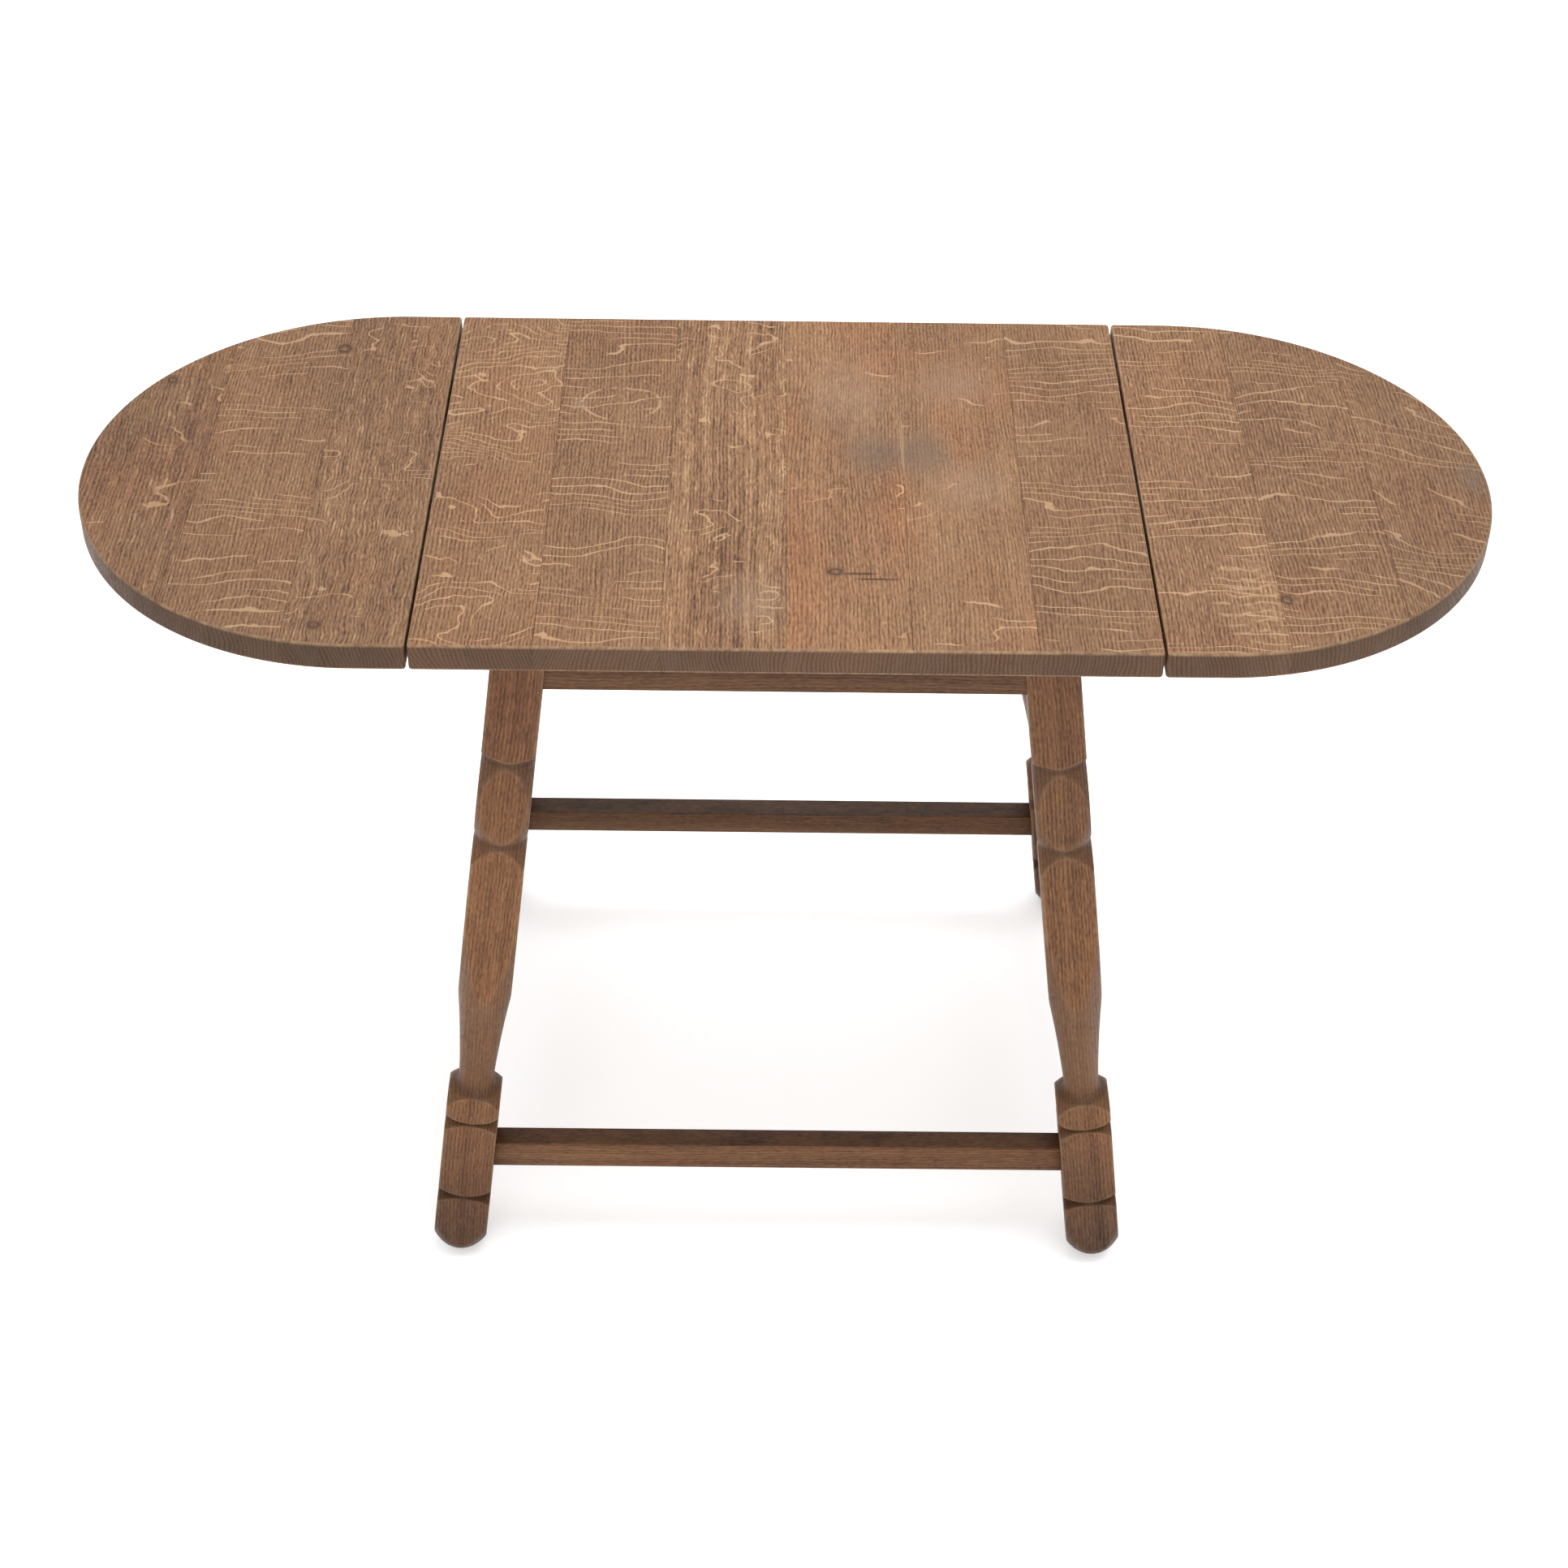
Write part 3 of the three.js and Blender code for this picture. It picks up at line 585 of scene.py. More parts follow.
def tube_faces(rings, count):
    """Side faces between rings of points, the first ring uppermost and each ring anticlockwise from above."""
    faces = []
    for ring in range(rings - 1):
        for i in range(count):
            j = (i + 1) % count
            faces.append((ring * count + i, (ring + 1) * count + i, (ring + 1) * count + j, ring * count + j))
    return faces


# ---- Boards of the top ----


def corner_arc(centre, start_degrees, first, last):
    """Points on a quarter turn at a board's corner, from one step to another, on outer edges."""
    points = []
    for i in range(first, last + 1):
        angle = math.radians(start_degrees + 90 * i / CORNER_STEPS)
        points.append((centre[0] + BOARD_CORNER * math.cos(angle), centre[1] + BOARD_CORNER * math.sin(angle),
                       "outer"))
    return points


def front_edge(start, end):
    """The front edge of a board from one x to another: straight, then round to the tip."""
    if end <= LEAF_STRAIGHT_END:
        return [(start, -HALF_WIDTH), (end, -HALF_WIDTH)]
    reach = TIP_X - LEAF_STRAIGHT_END
    first, last = (math.asin(unit((x - LEAF_STRAIGHT_END) / reach)) for x in (start, end))
    points = [(start, -HALF_WIDTH)] if start < LEAF_STRAIGHT_END else []
    for i in range(OVAL_STEPS + 1):
        angle = first + (last - first) * i / OVAL_STEPS
        points.append((LEAF_STRAIGHT_END + reach * math.sin(angle), -HALF_WIDTH * math.cos(angle)))
    return points


def end_with(outline, kind):
    """Gives the edge that leaves the last point another kind."""
    outline[-1] = (*outline[-1][:2], kind)


def stave_outline(x0, x1, hinge_left, hinge_right):
    """Outline points anticlockwise, each with the kind of the edge that leaves it: outer, seam or hinge."""
    corner = BOARD_CORNER
    front = front_edge(x0 + (corner if hinge_left else 0.0), x1 - (corner if hinge_right else 0.0))
    outline = [(x, y, "outer") for x, y in front]
    back = [(x, -y, "outer") for x, y in reversed(front)]
    if abs(front[-1][1]) < 1e-6:
        outline += back[1:]
    elif hinge_right:
        outline += corner_arc((x1 - corner, -HALF_WIDTH + corner), -90, 1, CORNER_STEPS)
        end_with(outline, "hinge")
        outline += corner_arc((x1 - corner, HALF_WIDTH - corner), 0, 0, CORNER_STEPS - 1)
        outline += back
    else:
        end_with(outline, "seam")
        outline += back
    if hinge_left:
        outline += corner_arc((x0 + corner, HALF_WIDTH - corner), 90, 1, CORNER_STEPS)
        end_with(outline, "hinge")
        outline += corner_arc((x0 + corner, -HALF_WIDTH + corner), 180, 0, CORNER_STEPS - 1)
    else:
        end_with(outline, "seam")
    return outline


# How much of the arris each kind of edge gets, at the upper face and at the underside
EDGE_WEIGHT = {"outer": (0.9, 0.9), "hinge": (0.28, 1.8), "seam": (0.05, 0.05)}


def inward(points, index, row):
    """How far an outline point moves for one unit of rounding, so each edge moves in by its own weight."""
    before, here, after = points[index - 1], points[index], points[(index + 1) % len(points)]
    edge_in = Vector((here[0] - before[0], here[1] - before[1])).normalized()
    edge_out = Vector((after[0] - here[0], after[1] - here[1])).normalized()
    normal_in = Vector((-edge_in.y, edge_in.x))
    normal_out = Vector((-edge_out.y, edge_out.x))
    weight_in = EDGE_WEIGHT[before[2]][row]
    weight_out = EDGE_WEIGHT[here[2]][row]
    cross = normal_in.x * normal_out.y - normal_in.y * normal_out.x
    if abs(cross) < 0.2:
        return (normal_in + normal_out).normalized() * (weight_in + weight_out) / 2
    return Vector((
        (weight_in * normal_out.y - weight_out * normal_in.y) / cross,
        (normal_in.x * weight_out - normal_out.x * weight_in) / cross,
    ))


def cap_faces(outline):
    """Faces over an outline that is the same at the front and the back: strips from front to back."""
    count = len(outline)
    close = 1e-6
    fold = next(c for c in range(count) if all(
        abs(outline[(c - i) % count][0] - outline[i][0]) < close
        and abs(outline[(c - i) % count][1] + outline[i][1]) < close for i in range(count)))
    faces = []
    for i in range(count):
        j = (i + 1) % count
        if outline[i][1] < -close and outline[j][1] < -close:
            faces.append((i, j, (fold - j) % count, (fold - i) % count))
        elif outline[i][1] < -close and abs(outline[j][1]) <= close:
            faces.append((i, j, (fold - i) % count))
    return faces


def board_rings():
    """Rings from the upper face round both arrises to the underside. Each: its column of EDGE_WEIGHT, how far
    in it lies, its level, how much it faces outward, and its wear."""
    angles = [i / BOARD_ARRIS_STEPS * math.pi / 2 for i in range(BOARD_ARRIS_STEPS + 1)]
    margin = BOARD_ARRIS + FLAT_MARGIN
    rings = [(0, margin, TOP_Z, 0.0, 0.0)]
    for row, level, sign, order in ((0, TOP_Z, -1, angles), (1, UNDER_Z, 1, angles[::-1])):
        for angle in order:
            inset = BOARD_ARRIS * (1 - math.sin(angle))
            depth = BOARD_ARRIS * (1 - math.cos(angle))
            rings.append((row, inset, level + sign * depth, math.sin(angle), math.sin(2 * angle)))
    rings.append((1, margin, UNDER_Z, 0.0, 0.0))
    return rings


def build_stave(node, body, outline, mirror, material, seed):
    """A board with softened arrises over its CAD node. Mirror puts a right-hand board on the left."""
    rng = random.Random(seed)
    count = len(outline)
    rings = board_rings()
    flip = -1.0 if mirror else 1.0
    points, end_mask, side_mask, wear_mask = [], [], [], []
    for row, inset, z, outward, wear in rings:
        for i in range(count):
            x, y, _ = outline[i]
            step = inward(outline, i, row)
            points.append((flip * (x + step.x * inset), flip * (y + step.y * inset), z))
            kinds = (outline[i - 1][2], outline[i][2])
            facing = abs(inward(outline, i, 0).normalized().y) if "outer" in kinds else 0.0
            end_mask.append(outward * unit((facing - 0.35) / 0.4))
            side_mask.append(outward if "outer" in kinds else 0.0)
            wear_mask.append(wear)
    caps = cap_faces(outline)
    last = (len(rings) - 1) * count
    faces = caps + tube_faces(len(rings), count) + [tuple(last + i for i in reversed(face)) for face in caps]
    piece = new_piece(node + ".board", points, faces, material, body, "oak_top", node)
    shift = grain_shift(rng)
    ring_lean = rng.uniform(-0.25, 0.25)
    set_grain(piece, [(x + ring_lean * (z - TOP_Z) + shift[0], y + shift[1], z + shift[2])
                      for x, y, z in points])
    set_mask(piece, "end", end_mask)
    set_mask(piece, "side", side_mask)
    set_mask(piece, "wear", wear_mask)


# One entry for each board, from the left tip to the right tip. An edge below one is painted shade on the
# board's rim, and above one painted light.
BOARDS = {
    "left_leaf_stave_3": {"lines": 60.0, "sway": 3.0, "runs": 40.0, "rays": 0.1, "shiver": 1.6,
                          "stripes": 0.4, "ticks": 0.45, "warm": 0.5, "tone": 0.81, "edge": 0.92},
    "left_leaf_stave_2": {"lines": 90.0, "sway": 1.6, "runs": 12.0, "rays": 0.7, "stripes": 0.15,
                          "ticks": 0.05, "tone": 0.89, "edge": 0.92},
    "left_leaf_stave_1": {"lines": 50.0, "sway": 5.0, "runs": 40.0, "rays": 0.3, "shiver": 2.4,
                          "stripes": 0.35, "ticks": 0.5, "warm": 0.4, "tone": 0.87, "edge": 0.94},
    "centre_stave_1": {"lines": 70.0, "sway": 4.2, "runs": 26.0, "rays": 0.9, "stripes": 0.15,
                       "ticks": 0.15, "warm": 0.4, "tone": 1.0},
    "centre_stave_2": {"lines": 85.0, "sway": 1.8, "runs": 9.0, "rays": 0.75, "stripes": 0.15,
                       "ticks": 0.05, "warm": 0.4, "tone": 0.975},
    "centre_stave_3": {"lines": 40.0, "sway": 5.0, "runs": 40.0, "rays": 0.4, "stripes": 0.85,
                       "ticks": 0.4, "warm": 0.2, "tone": 1.02},
    "centre_stave_4": {"lines": 60.0, "sway": 2.4, "rays": 0.02, "flakes": 0.1, "stripes": 0.2,
                       "ticks": 0.1, "grain": 0.6, "warm": 0.65, "tone": 1.17, "edge": 0.95},
    "centre_stave_5": {"lines": 60.0, "sway": 2.4, "rays": 0.05, "flakes": 0.1, "stripes": 0.2,
                       "ticks": 0.1, "grain": 0.6, "warm": 0.55, "tone": 1.06},
    "centre_stave_6": {"lines": 90.0, "sway": 1.8, "runs": 8.0, "rays": 0.9, "stripes": 0.1,
                       "ticks": 0.05, "grain": 0.6, "tone": 0.925, "edge": 1.07},
    "right_leaf_stave_1": {"lines": 95.0, "sway": 1.5, "runs": 9.0, "rays": 0.85, "stripes": 0.15,
                           "ticks": 0.05, "tone": 1.01, "edge": 1.03},
    "right_leaf_stave_2": {"lines": 85.0, "sway": 1.8, "runs": 12.0, "rays": 0.8, "stripes": 0.15,
                           "ticks": 0.05, "tone": 0.91, "edge": 0.95},
    "right_leaf_stave_3": {"lines": 80.0, "sway": 1.8, "slant": 0.35, "runs": 14.0, "rays": 0.75,
                           "stripes": 0.15, "ticks": 0.1, "tone": 0.81, "edge": 0.95},
}


def build_top():
    for seed, (node, board) in enumerate(BOARDS.items()):
        low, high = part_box(node)
        mirror = node.startswith("left")
        hinge_left = node.endswith("leaf_stave_1") or node == "centre_stave_1"
        hinge_right = node == "centre_stave_6"
        x0, x1 = (-high.x, -low.x) if mirror else (low.x, high.x)
        x0 -= HINGE_CLOSE if hinge_left else SEAM_CLOSE
        if x1 < TIP_X - CLEARANCE:
            x1 += HINGE_CLOSE if hinge_right else SEAM_CLOSE
        outline = stave_outline(x0, x1, hinge_left, hinge_right)
        body = node.split("_stave")[0] if "leaf" in node else "base"
        build_stave(node, body, outline, mirror, oak("oak_" + node, TOP_OAK, board), seed + 11)


# ---- Legs ----

# The turned profile: radius and drop below the upper surface, in millimetres. The bead bulges out between two
# necks.
BEAD_TOP, BEAD_LENGTH, BEAD_BULGE, BEAD_STEPS = 151, 82, 9.7, 14
BEAD = [(21 + 0.6 * t + 4 * BEAD_BULGE * t * (1 - t), BEAD_TOP + BEAD_LENGTH * t)
        for t in (i / BEAD_STEPS for i in range(1, BEAD_STEPS))]
LEG_PROFILE = [
    (40, 0), (40, 135), (33, 139.5), (28.5, 141.6), (25.3, 144.2), (22.6, 147.4), (21.2, 149.6),
    (20.9, 150.6), (21.6, 151.6), *BEAD, (21.9, 232.2), (21.1, 233.4), (21.5, 235), (22.6, 237.2),
    (25.6, 242), (29.4, 249), (33.2, 258), (35.4, 268), (36, 280), (35, 300), (32.2, 328), (29.4, 356),
    (26.5, 382), (24, 404), (21.6, 425), (19.6, 445), (18, 465), (16.6, 485), (15.9, 500), (15.8, 507.6),
    (16.6, 509.6), (19.2, 511.3), (23, 513.2), (27.2, 516.2), (30.6, 520), (32.9, 524.5), (33.6, 529),
    (32.7, 534), (29.4, 538.6), (24.6, 542), (21.8, 543.6), (21.2, 544.6), (22.2, 545.2), (24.5, 546.2),
    (29, 549), (34, 553), (40, 557), (40, 612), (34.4, 621.5), (30.6, 626), (25.4, 630), (22.4, 632.6),
    (21.9, 633.6), (22.6, 634.4), (26, 635.6), (31, 638), (36, 641.5), (36, 656), (34, 665), (31.9, 674),
    (29.5, 682), (26.8, 689), (23.4, 695.4), (19.2, 701), (14.2, 705.6), (10, 708.4), (8.5, 714),
]

# Rings of points: from inside the top to below the floor, closer together where the turning is fine
LEG_OVERLAP = 6
LEG_LAST_DROP = 716
FINE_DROPS = [(136, 160), (224, 262), (504, 568), (610, 650), (676, 710)]
FINE_STEP = 1.1
COARSE_STEP = 5.0

# Drops are measured upright. The legs lean, so the way along a leg is this many times as long.
LEAN = math.hypot(LEG_FOOT[0] - LEG_TOP[0], LEG_FOOT[1] - LEG_TOP[1]) / TOP_Z
ALONG_LEG = 1 / math.cos(math.atan(LEAN))


def radius_at(drop):
    """The turned radius at a drop, joined smoothly between the profile's points."""
    for i in range(len(LEG_PROFILE) - 1):
        (r0, d0), (r1, d1) = LEG_PROFILE[i], LEG_PROFILE[i + 1]
        if d0 <= drop <= d1:
            span = d1 - d0
            t = (drop - d0) / span
            before = LEG_PROFILE[max(i - 1, 0)]
            after = LEG_PROFILE[min(i + 2, len(LEG_PROFILE) - 1)]
            limit = 3 * abs(r1 - r0)
            m0 = (r1 - before[0]) / (d1 - before[1]) * span
            m1 = (after[0] - r0) / (after[1] - d0) * span
            m0 = max(-limit, min(limit, m0))
            m1 = max(-limit, min(limit, m1))
            h = ((2 * t ** 3 - 3 * t ** 2 + 1) * r0 + (t ** 3 - 2 * t ** 2 + t) * m0
                 + (-2 * t ** 3 + 3 * t ** 2) * r1 + (t ** 3 - t ** 2) * m1)
            return h / 1000
    return LEG_PROFILE[-1][0] / 1000


def soft_min(first, second, blend):
    part = unit(0.5 + 0.5 * (second - first) / blend)
    return second + (first - second) * part - blend * part * (1 - part)


def face_angles(half, radius):
    """Angles over one face of the blank, crowded round the crease where the flat meets the turning."""
    quarter = math.pi / 4
    crease = math.acos(half / radius) if radius > half else 0.0
    crease = max(0.06, min(quarter - 0.05, crease))
    near = 0.022
    flat = [part * (crease - near) for part in (0.0, 0.3, 0.6, 0.85)]
    rest = quarter - (crease + near)
    round_part = [crease + near + rest * part for part in (0.3, 0.6, 0.85, 1.0)]
    half_face = [*flat, crease - near, crease, crease + near, *round_part]
    return [-angle for angle in reversed(half_face[1:-1])] + half_face


def leg_drops():
    drops = []
    drop = (TOP_Z - UNDER_Z + CLEARANCE) * 1000 - LEG_OVERLAP
    while drop < LEG_LAST_DROP:
        drops.append(drop)
        drop += FINE_STEP if any(low <= drop <= high for low, high in FINE_DROPS) else COARSE_STEP
    return drops


def leg_matrix(side_x, side_y):
    """From a leg's own axes, with its centre line down -Z from the upper surface, to its place."""
    spread = side_y * LEG_PAIR_SPREAD
    top = Vector((side_x * (LEG_TOP[0] + spread), side_y * LEG_TOP[1], TOP_Z))
    foot = Vector((side_x * (LEG_FOOT[0] + spread), side_y * LEG_FOOT[1], 0))
    up = (top - foot).normalized()
    back = (Vector((0, 1, 0)) - up * up.y).normalized()
    right = back.cross(up)
    return Matrix.Translation(top) @ Matrix((right, back, up)).transposed().to_4x4()


def leg_ring(drop):
    """One ring of points round a leg. Each: place, and how far it is turned, worn and darkened with painted
    shade in its grooves.
    """
    half = (LEG_SIDE[0] + (LEG_SIDE[1] - LEG_SIDE[0]) * drop / 1000 / TOP_Z) / 2
    radius = radius_at(drop)
    slope = abs(radius_at(drop + 0.6) - radius_at(drop - 0.6)) / 0.0012
    groove = unit((half + 0.0002 - radius) / 0.0016)
    # Painted shade in grooves cut below the faces of the blank
    darkening = 0.9 * groove if radius < half and slope > 0.12 else 0.0
    corner = half * math.sqrt(2) - LEG_ARRIS
    ring = []
    for quarter in range(4):
        for angle in face_angles(half, radius):
            blank = soft_min(half / math.cos(angle), corner, LEG_ARRIS)
            distance = soft_min(blank, radius, 0.0005)
            theta = angle + quarter * math.pi / 2
            place = Vector((distance * math.cos(theta), distance * math.sin(theta), -drop / 1000 * ALONG_LEG))
            turned = unit((blank - radius) / 0.0004 * 0.5 + 0.5)
            crease = math.exp(-((blank - radius) / 0.0009) ** 2) * min(1.0, 0.25 + slope * 0.6)
            arris = math.exp(-((math.pi / 4 - abs(angle)) / 0.05) ** 2) * (1 - turned)
            wear = min(1.0, 0.9 * crease + 0.75 * arris)
            ring.append((place, turned, wear, darkening))
    return ring


def build_leg(name, side_x, side_y, material, seed):
    shift = grain_shift(random.Random(seed))
    rings = [leg_ring(drop) for drop in leg_drops()]
    count = len(rings[0])
    points, turned, wear, darkening = zip(*(point for ring in rings for point in ring))
    matrix = leg_matrix(side_x, side_y)
    world = [matrix @ p for p in points]
    for p in world:
        p.z = min(max(p.z, 0.0), UNDER_Z - CLEARANCE)
    last = (len(rings) - 1) * count
    faces = tube_faces(len(rings), count)
    faces += [tuple(range(count)), tuple(last + i for i in reversed(range(count)))]
    piece = new_piece(name + ".turned", world, faces, material, "base", "oak_leg", name)
    set_grain(piece, [(p.x + shift[0], p.z + shift[1], p.y + shift[2]) for p in points])
    set_mask(piece, "turned", turned)
    set_mask(piece, "wear", wear)
    set_mask(piece, "darkening", darkening)


def build_legs():
    board = {"rays": -1.0, "flakes": -0.6, "lines": 150.0, "shiver": 0.9, "stripes": 0.4, "ticks": 0.12,
             "grain": 0.62, "warm": 0.6, "darkening_strength": 0.38, "tone": 0.95, "upright": True}
    material = oak("oak_legs", LEG_OAK, board, 0.46)
    seed = 41
    for row, y in (("front", -1), ("rear", 1)):
        for side, x in (("left", -1), ("right", 1)):
            build_leg(f"leg_{row}_{side}", x, y, material, seed)
            seed += 1


# ---- Rails and glue blocks: CAD shapes with eased arrises ----


def eased_copy(node, material, axis):
    """The node's shape with eased arrises. Rails are stretched into the legs so that the shoulders close."""
    work = bmesh.new()
    work.from_mesh(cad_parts[node].data)
    bmesh.ops.remove_doubles(work, verts=work.verts, dist=1e-5)
    bmesh.ops.dissolve_limit(work, angle_limit=math.radians(1.0), verts=work.verts, edges=work.edges)
    sharp = [e for e in work.edges if len(e.link_faces) == 2 and e.calc_face_angle(0) > math.radians(30)]
    bmesh.ops.bevel(work, geom=sharp, offset=RAIL_ARRIS, segments=3, profile=0.5, affect="EDGES",
                    clamp_overlap=True)
    low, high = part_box(node)
    if not node.startswith("glue"):
        stretch = 1 + 2 * (RAIL_ARRIS + 2 * CLEARANCE) / (high - low)[axis]
        for v in work.verts:
            v.co[axis] *= stretch
    work.verts.index_update()
    points = [v.co.copy() for v in work.verts]
    faces = [tuple(v.index for v in f.verts) for f in work.faces]
    work.free()
    return new_piece(node + ".eased", points, faces, material, "base", "oak_rail", node), points


def build_rails():
    board = {"rays": -1.0, "flakes": -0.6, "lines": 90.0, "stripes": 0.6, "ticks": 0.2, "grain": 0.5,
             "warm": 0.4}
    near = oak("oak_rails", LEG_OAK, {**board, "tone": 0.80})
    # The aprons and the rear rails are darker copies of the rail oak: painted shade where the top and the
    # frame keep the light off, with stronger darkening on the rear rails' upward faces
    shaded = oak("oak_aprons", LEG_OAK, {**board, "tone": 0.63})
    far = oak("oak_rails_rear", LEG_OAK, {**board, "tone": 0.66, "darkening_strength": 0.85})
    rng = random.Random(77)
    names = [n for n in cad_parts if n.startswith(("apron_", "stretcher_", "glue_block_"))]
    for name in sorted(names):
        material = far if "rear" in name else shaded if name.startswith("apron") else near
        along_x = "front" in name or "rear" in name
        piece, points = eased_copy(name, material, 0 if along_x else 1)
        shift = grain_shift(rng)
        # Upward faces of the rails are made darker, the more so the more they face up
        upward_darkening = [0.85 * unit((v.normal.z - 0.3) / 0.5) for v in piece.data.vertices]
        set_mask(piece, "darkening", upward_darkening)
        if along_x:
            set_grain(piece, [(p.z + shift[0], p.x + shift[1], p.y + shift[2]) for p in points])
        else:
            set_grain(piece, [(p.z + shift[0], p.y + shift[1], p.x + shift[2]) for p in points])


# ---- Metal fittings: CAD nodes with their own finishes, and screw heads ----

FLAP_SCREW_RADIUS = 0.0033
BRACKET_SCREW_RADIUS = 0.0028
SCREW_HEIGHT = 0.0009

# Screws stand this far inside the plate, so that no gap shows
SCREW_SUNK = 0.0002

# From a flap's outer edge to its outer pair of screws and to its inner screw, and half of the pair's spacing
FLAP_PAIR_IN, FLAP_SINGLE_IN, FLAP_PAIR_HALF = 0.007, 0.014, 0.022
BRACKET_SPOTS = [(x, y) for x in (-0.012, 0.012) for y in (-0.0125, 0.0125)]


def screw_head(centre, radius, turn):
    """A low slotted head under a level plate: two rounded halves with the slot between them."""
    points, faces = [], []
    sides = 12
    slot = 0.16
    row = sides + 1
    for half in (0.0, math.pi):
        start = len(points)
        for width, drop in ((1.0, 0.0), (0.96, 0.55), (0.80, 1.0)):
            for i in range(row):
                angle = turn + half + slot + (math.pi - 2 * slot) * i / sides
                points.append((centre[0] + width * radius * math.cos(angle),
                               centre[1] + width * radius * math.sin(angle), centre[2] - drop * SCREW_HEIGHT))
        for ring in range(2):
            for i in range(row):
                a, b = start + ring * row + i, start + ring * row + (i + 1) % row
                faces.append((a, a + row, b + row, b))
        faces.append(tuple(start + 2 * row + i for i in reversed(range(row))))
        faces.append(tuple(start + i for i in range(row)))
    return points, faces


def screw_plates():
    """For each plate that shows screws: its node, body, screw places, lower face and screw radius."""
    plates = []
    for name in sorted(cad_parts):
        side = "left" if "_left_" in name else "right"
        low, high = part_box(name)
        mid_x, mid_y = (low.x + high.x) / 2, (low.y + high.y) / 2
        if name.endswith("_flap"):
            body = side + "_leaf" if name.endswith("leaf_flap") else "base"
            outward = 1 if mid_x > math.copysign(HINGE_X, mid_x) else -1
            edge = high.x if outward > 0 else low.x
            spots = [(edge - outward * FLAP_PAIR_IN, mid_y + y) for y in (-FLAP_PAIR_HALF, FLAP_PAIR_HALF)]
            spots.append((edge - outward * FLAP_SINGLE_IN, mid_y))
            plates.append((name, body, spots, UNDER_Z - CLEARANCE - FLAP_THICKNESS, FLAP_SCREW_RADIUS))
        elif name.endswith("leaf_bracket"):
            spots = [(mid_x + x, mid_y + y) for x, y in BRACKET_SPOTS]
            level = UNDER_Z - CLEARANCE - BRACKET_THICKNESS
            plates.append((name, side + "_leaf", spots, level, BRACKET_SCREW_RADIUS))
    return plates


def build_screws(material):
    """Screw heads under the hinge flaps and under the leaf brackets of the stays."""
    rng = random.Random(5)
    for name, body, spots, level, radius in screw_plates():
        points, faces = [], []
        for x, y in spots:
            head, sides = screw_head((x, y, level + SCREW_SUNK), radius, rng.uniform(0, math.pi))
            faces += [tuple(i + len(points) for i in face) for face in sides]
            points += head
        new_piece(name + ".screws", points, faces, material, body, "hinge_steel")


def finish_metal():
    steel = metal("aged_steel", srgb(128, 120, 111), srgb(88, 80, 72), 0.45)
    brass = metal("tarnished_brass", srgb(150, 124, 80), srgb(108, 86, 54), 0.42)
    screw = metal("screw_steel", srgb(112, 104, 94), srgb(70, 62, 54), 0.4)
    for name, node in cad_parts.items():
        if name.startswith(("hinge_", "stay_")):
            node.data.materials.clear()
            node.data.materials.append(steel if name.startswith("hinge_") else brass)
    build_screws(screw)


# ---- Studio ----

FLOOR_REACH = 14.0


def area_light(name, location, target, size, power):
    data = bpy.data.lights.new(name, "AREA")
    data.shape = "RECTANGLE"
    data.size, data.size_y = size
    data.energy = power
    light = bpy.data.objects.new(name, data)
    bpy.context.scene.collection.objects.link(light)
    light.location = location
    light.rotation_euler = (Vector(target) - Vector(location)).to_track_quat("-Z", "Y").to_euler()


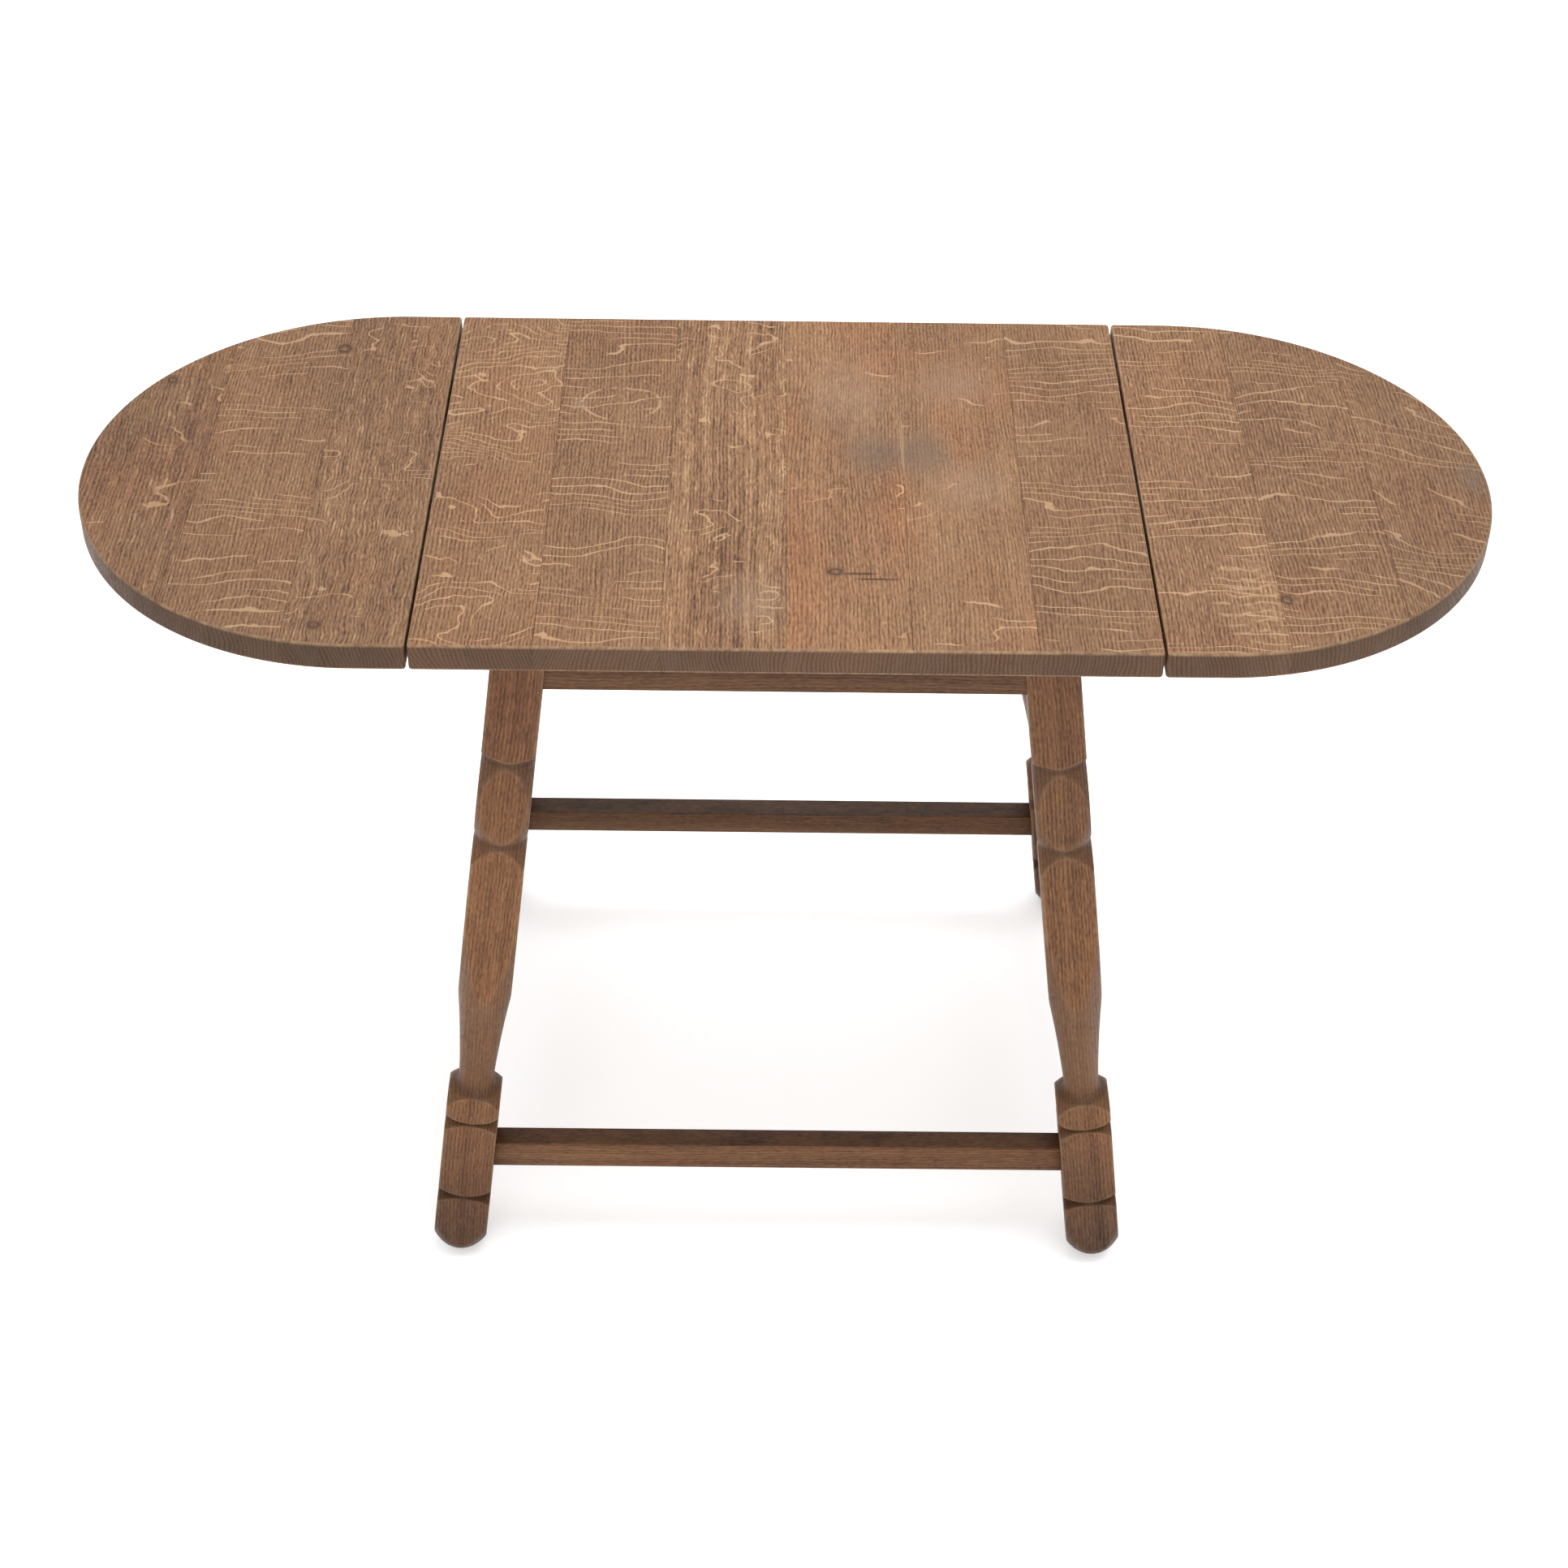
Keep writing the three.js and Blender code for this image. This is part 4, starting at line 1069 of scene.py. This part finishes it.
def build_floor():
    mesh = bpy.data.meshes.new("studio_floor")
    corners = ((-1, -1), (1, -1), (1, 1), (-1, 1))
    mesh.from_pydata([(x * FLOOR_REACH, y * FLOOR_REACH, 0) for x, y in corners], [], [(0, 1, 2, 3)])
    floor = bpy.data.objects.new("studio_floor", mesh)
    bpy.context.scene.collection.objects.link(floor)
    g = Graph("studio_paper")
    g.shader.inputs["Base Color"].default_value = (0.93, 0.93, 0.93, 1)
    g.shader.inputs["Roughness"].default_value = 0.9
    g.shader.inputs["Specular IOR Level"].default_value = 0.1
    g.shader.inputs["Emission Color"].default_value = (1, 1, 1, 1)
    g.shader.inputs["Emission Strength"].default_value = 0.25
    mesh.materials.append(g.material)


def build_studio():
    build_floor()
    world = bpy.data.worlds.new("studio")
    world.use_nodes = True
    background = world.node_tree.nodes["Background"]
    background.inputs["Color"].default_value = (1, 1, 1, 1)
    background.inputs["Strength"].default_value = 1.0
    bpy.context.scene.world = world
    area_light("overhead", (0.3, 0.2, 3.6), (0, 0, 0.5), (3.2, 2.4), 108)
    area_light("front_fill", (-0.6, -3.8, 2.3), (0, 0, 0.4), (3.0, 2.0), 41)
    bpy.context.scene.view_settings.view_transform = "Standard"


# The photo's view: the camera's place, its turns in degrees, and its lens and sensor width in millimetres
CAMERA_PLACE = (-0.0169, -2.0005, TOP_Z + 1.3083)
PITCH_DOWN, YAW, ROLL = 39.624, -0.551, 0.963
LENS = 63.5963
SENSOR_WIDTH = 36


def build_camera():
    """A long-lens view from in front and above."""
    pitch, yaw, roll = math.radians(PITCH_DOWN), math.radians(YAW), math.radians(ROLL)
    turn = Matrix.Rotation(yaw, 3, "Z")
    forward = turn @ Vector((0, math.cos(pitch), -math.sin(pitch)))
    up = turn @ Vector((0, math.sin(pitch), math.cos(pitch)))
    right = turn @ Vector((1, 0, 0))
    across = right * math.cos(roll) + up * math.sin(roll)
    upright = up * math.cos(roll) - right * math.sin(roll)
    camera = bpy.data.objects.new("camera", bpy.data.cameras.new("camera"))
    bpy.context.scene.collection.objects.link(camera)
    camera.data.sensor_width = SENSOR_WIDTH
    camera.data.lens = LENS
    rotation = Matrix((across, upright, -forward)).transposed().to_4x4()
    camera.matrix_world = Matrix.Translation(CAMERA_PLACE) @ rotation
    bpy.context.scene.camera = camera


build_camera()
build_studio()
build_top()
build_legs()
build_rails()
finish_metal()
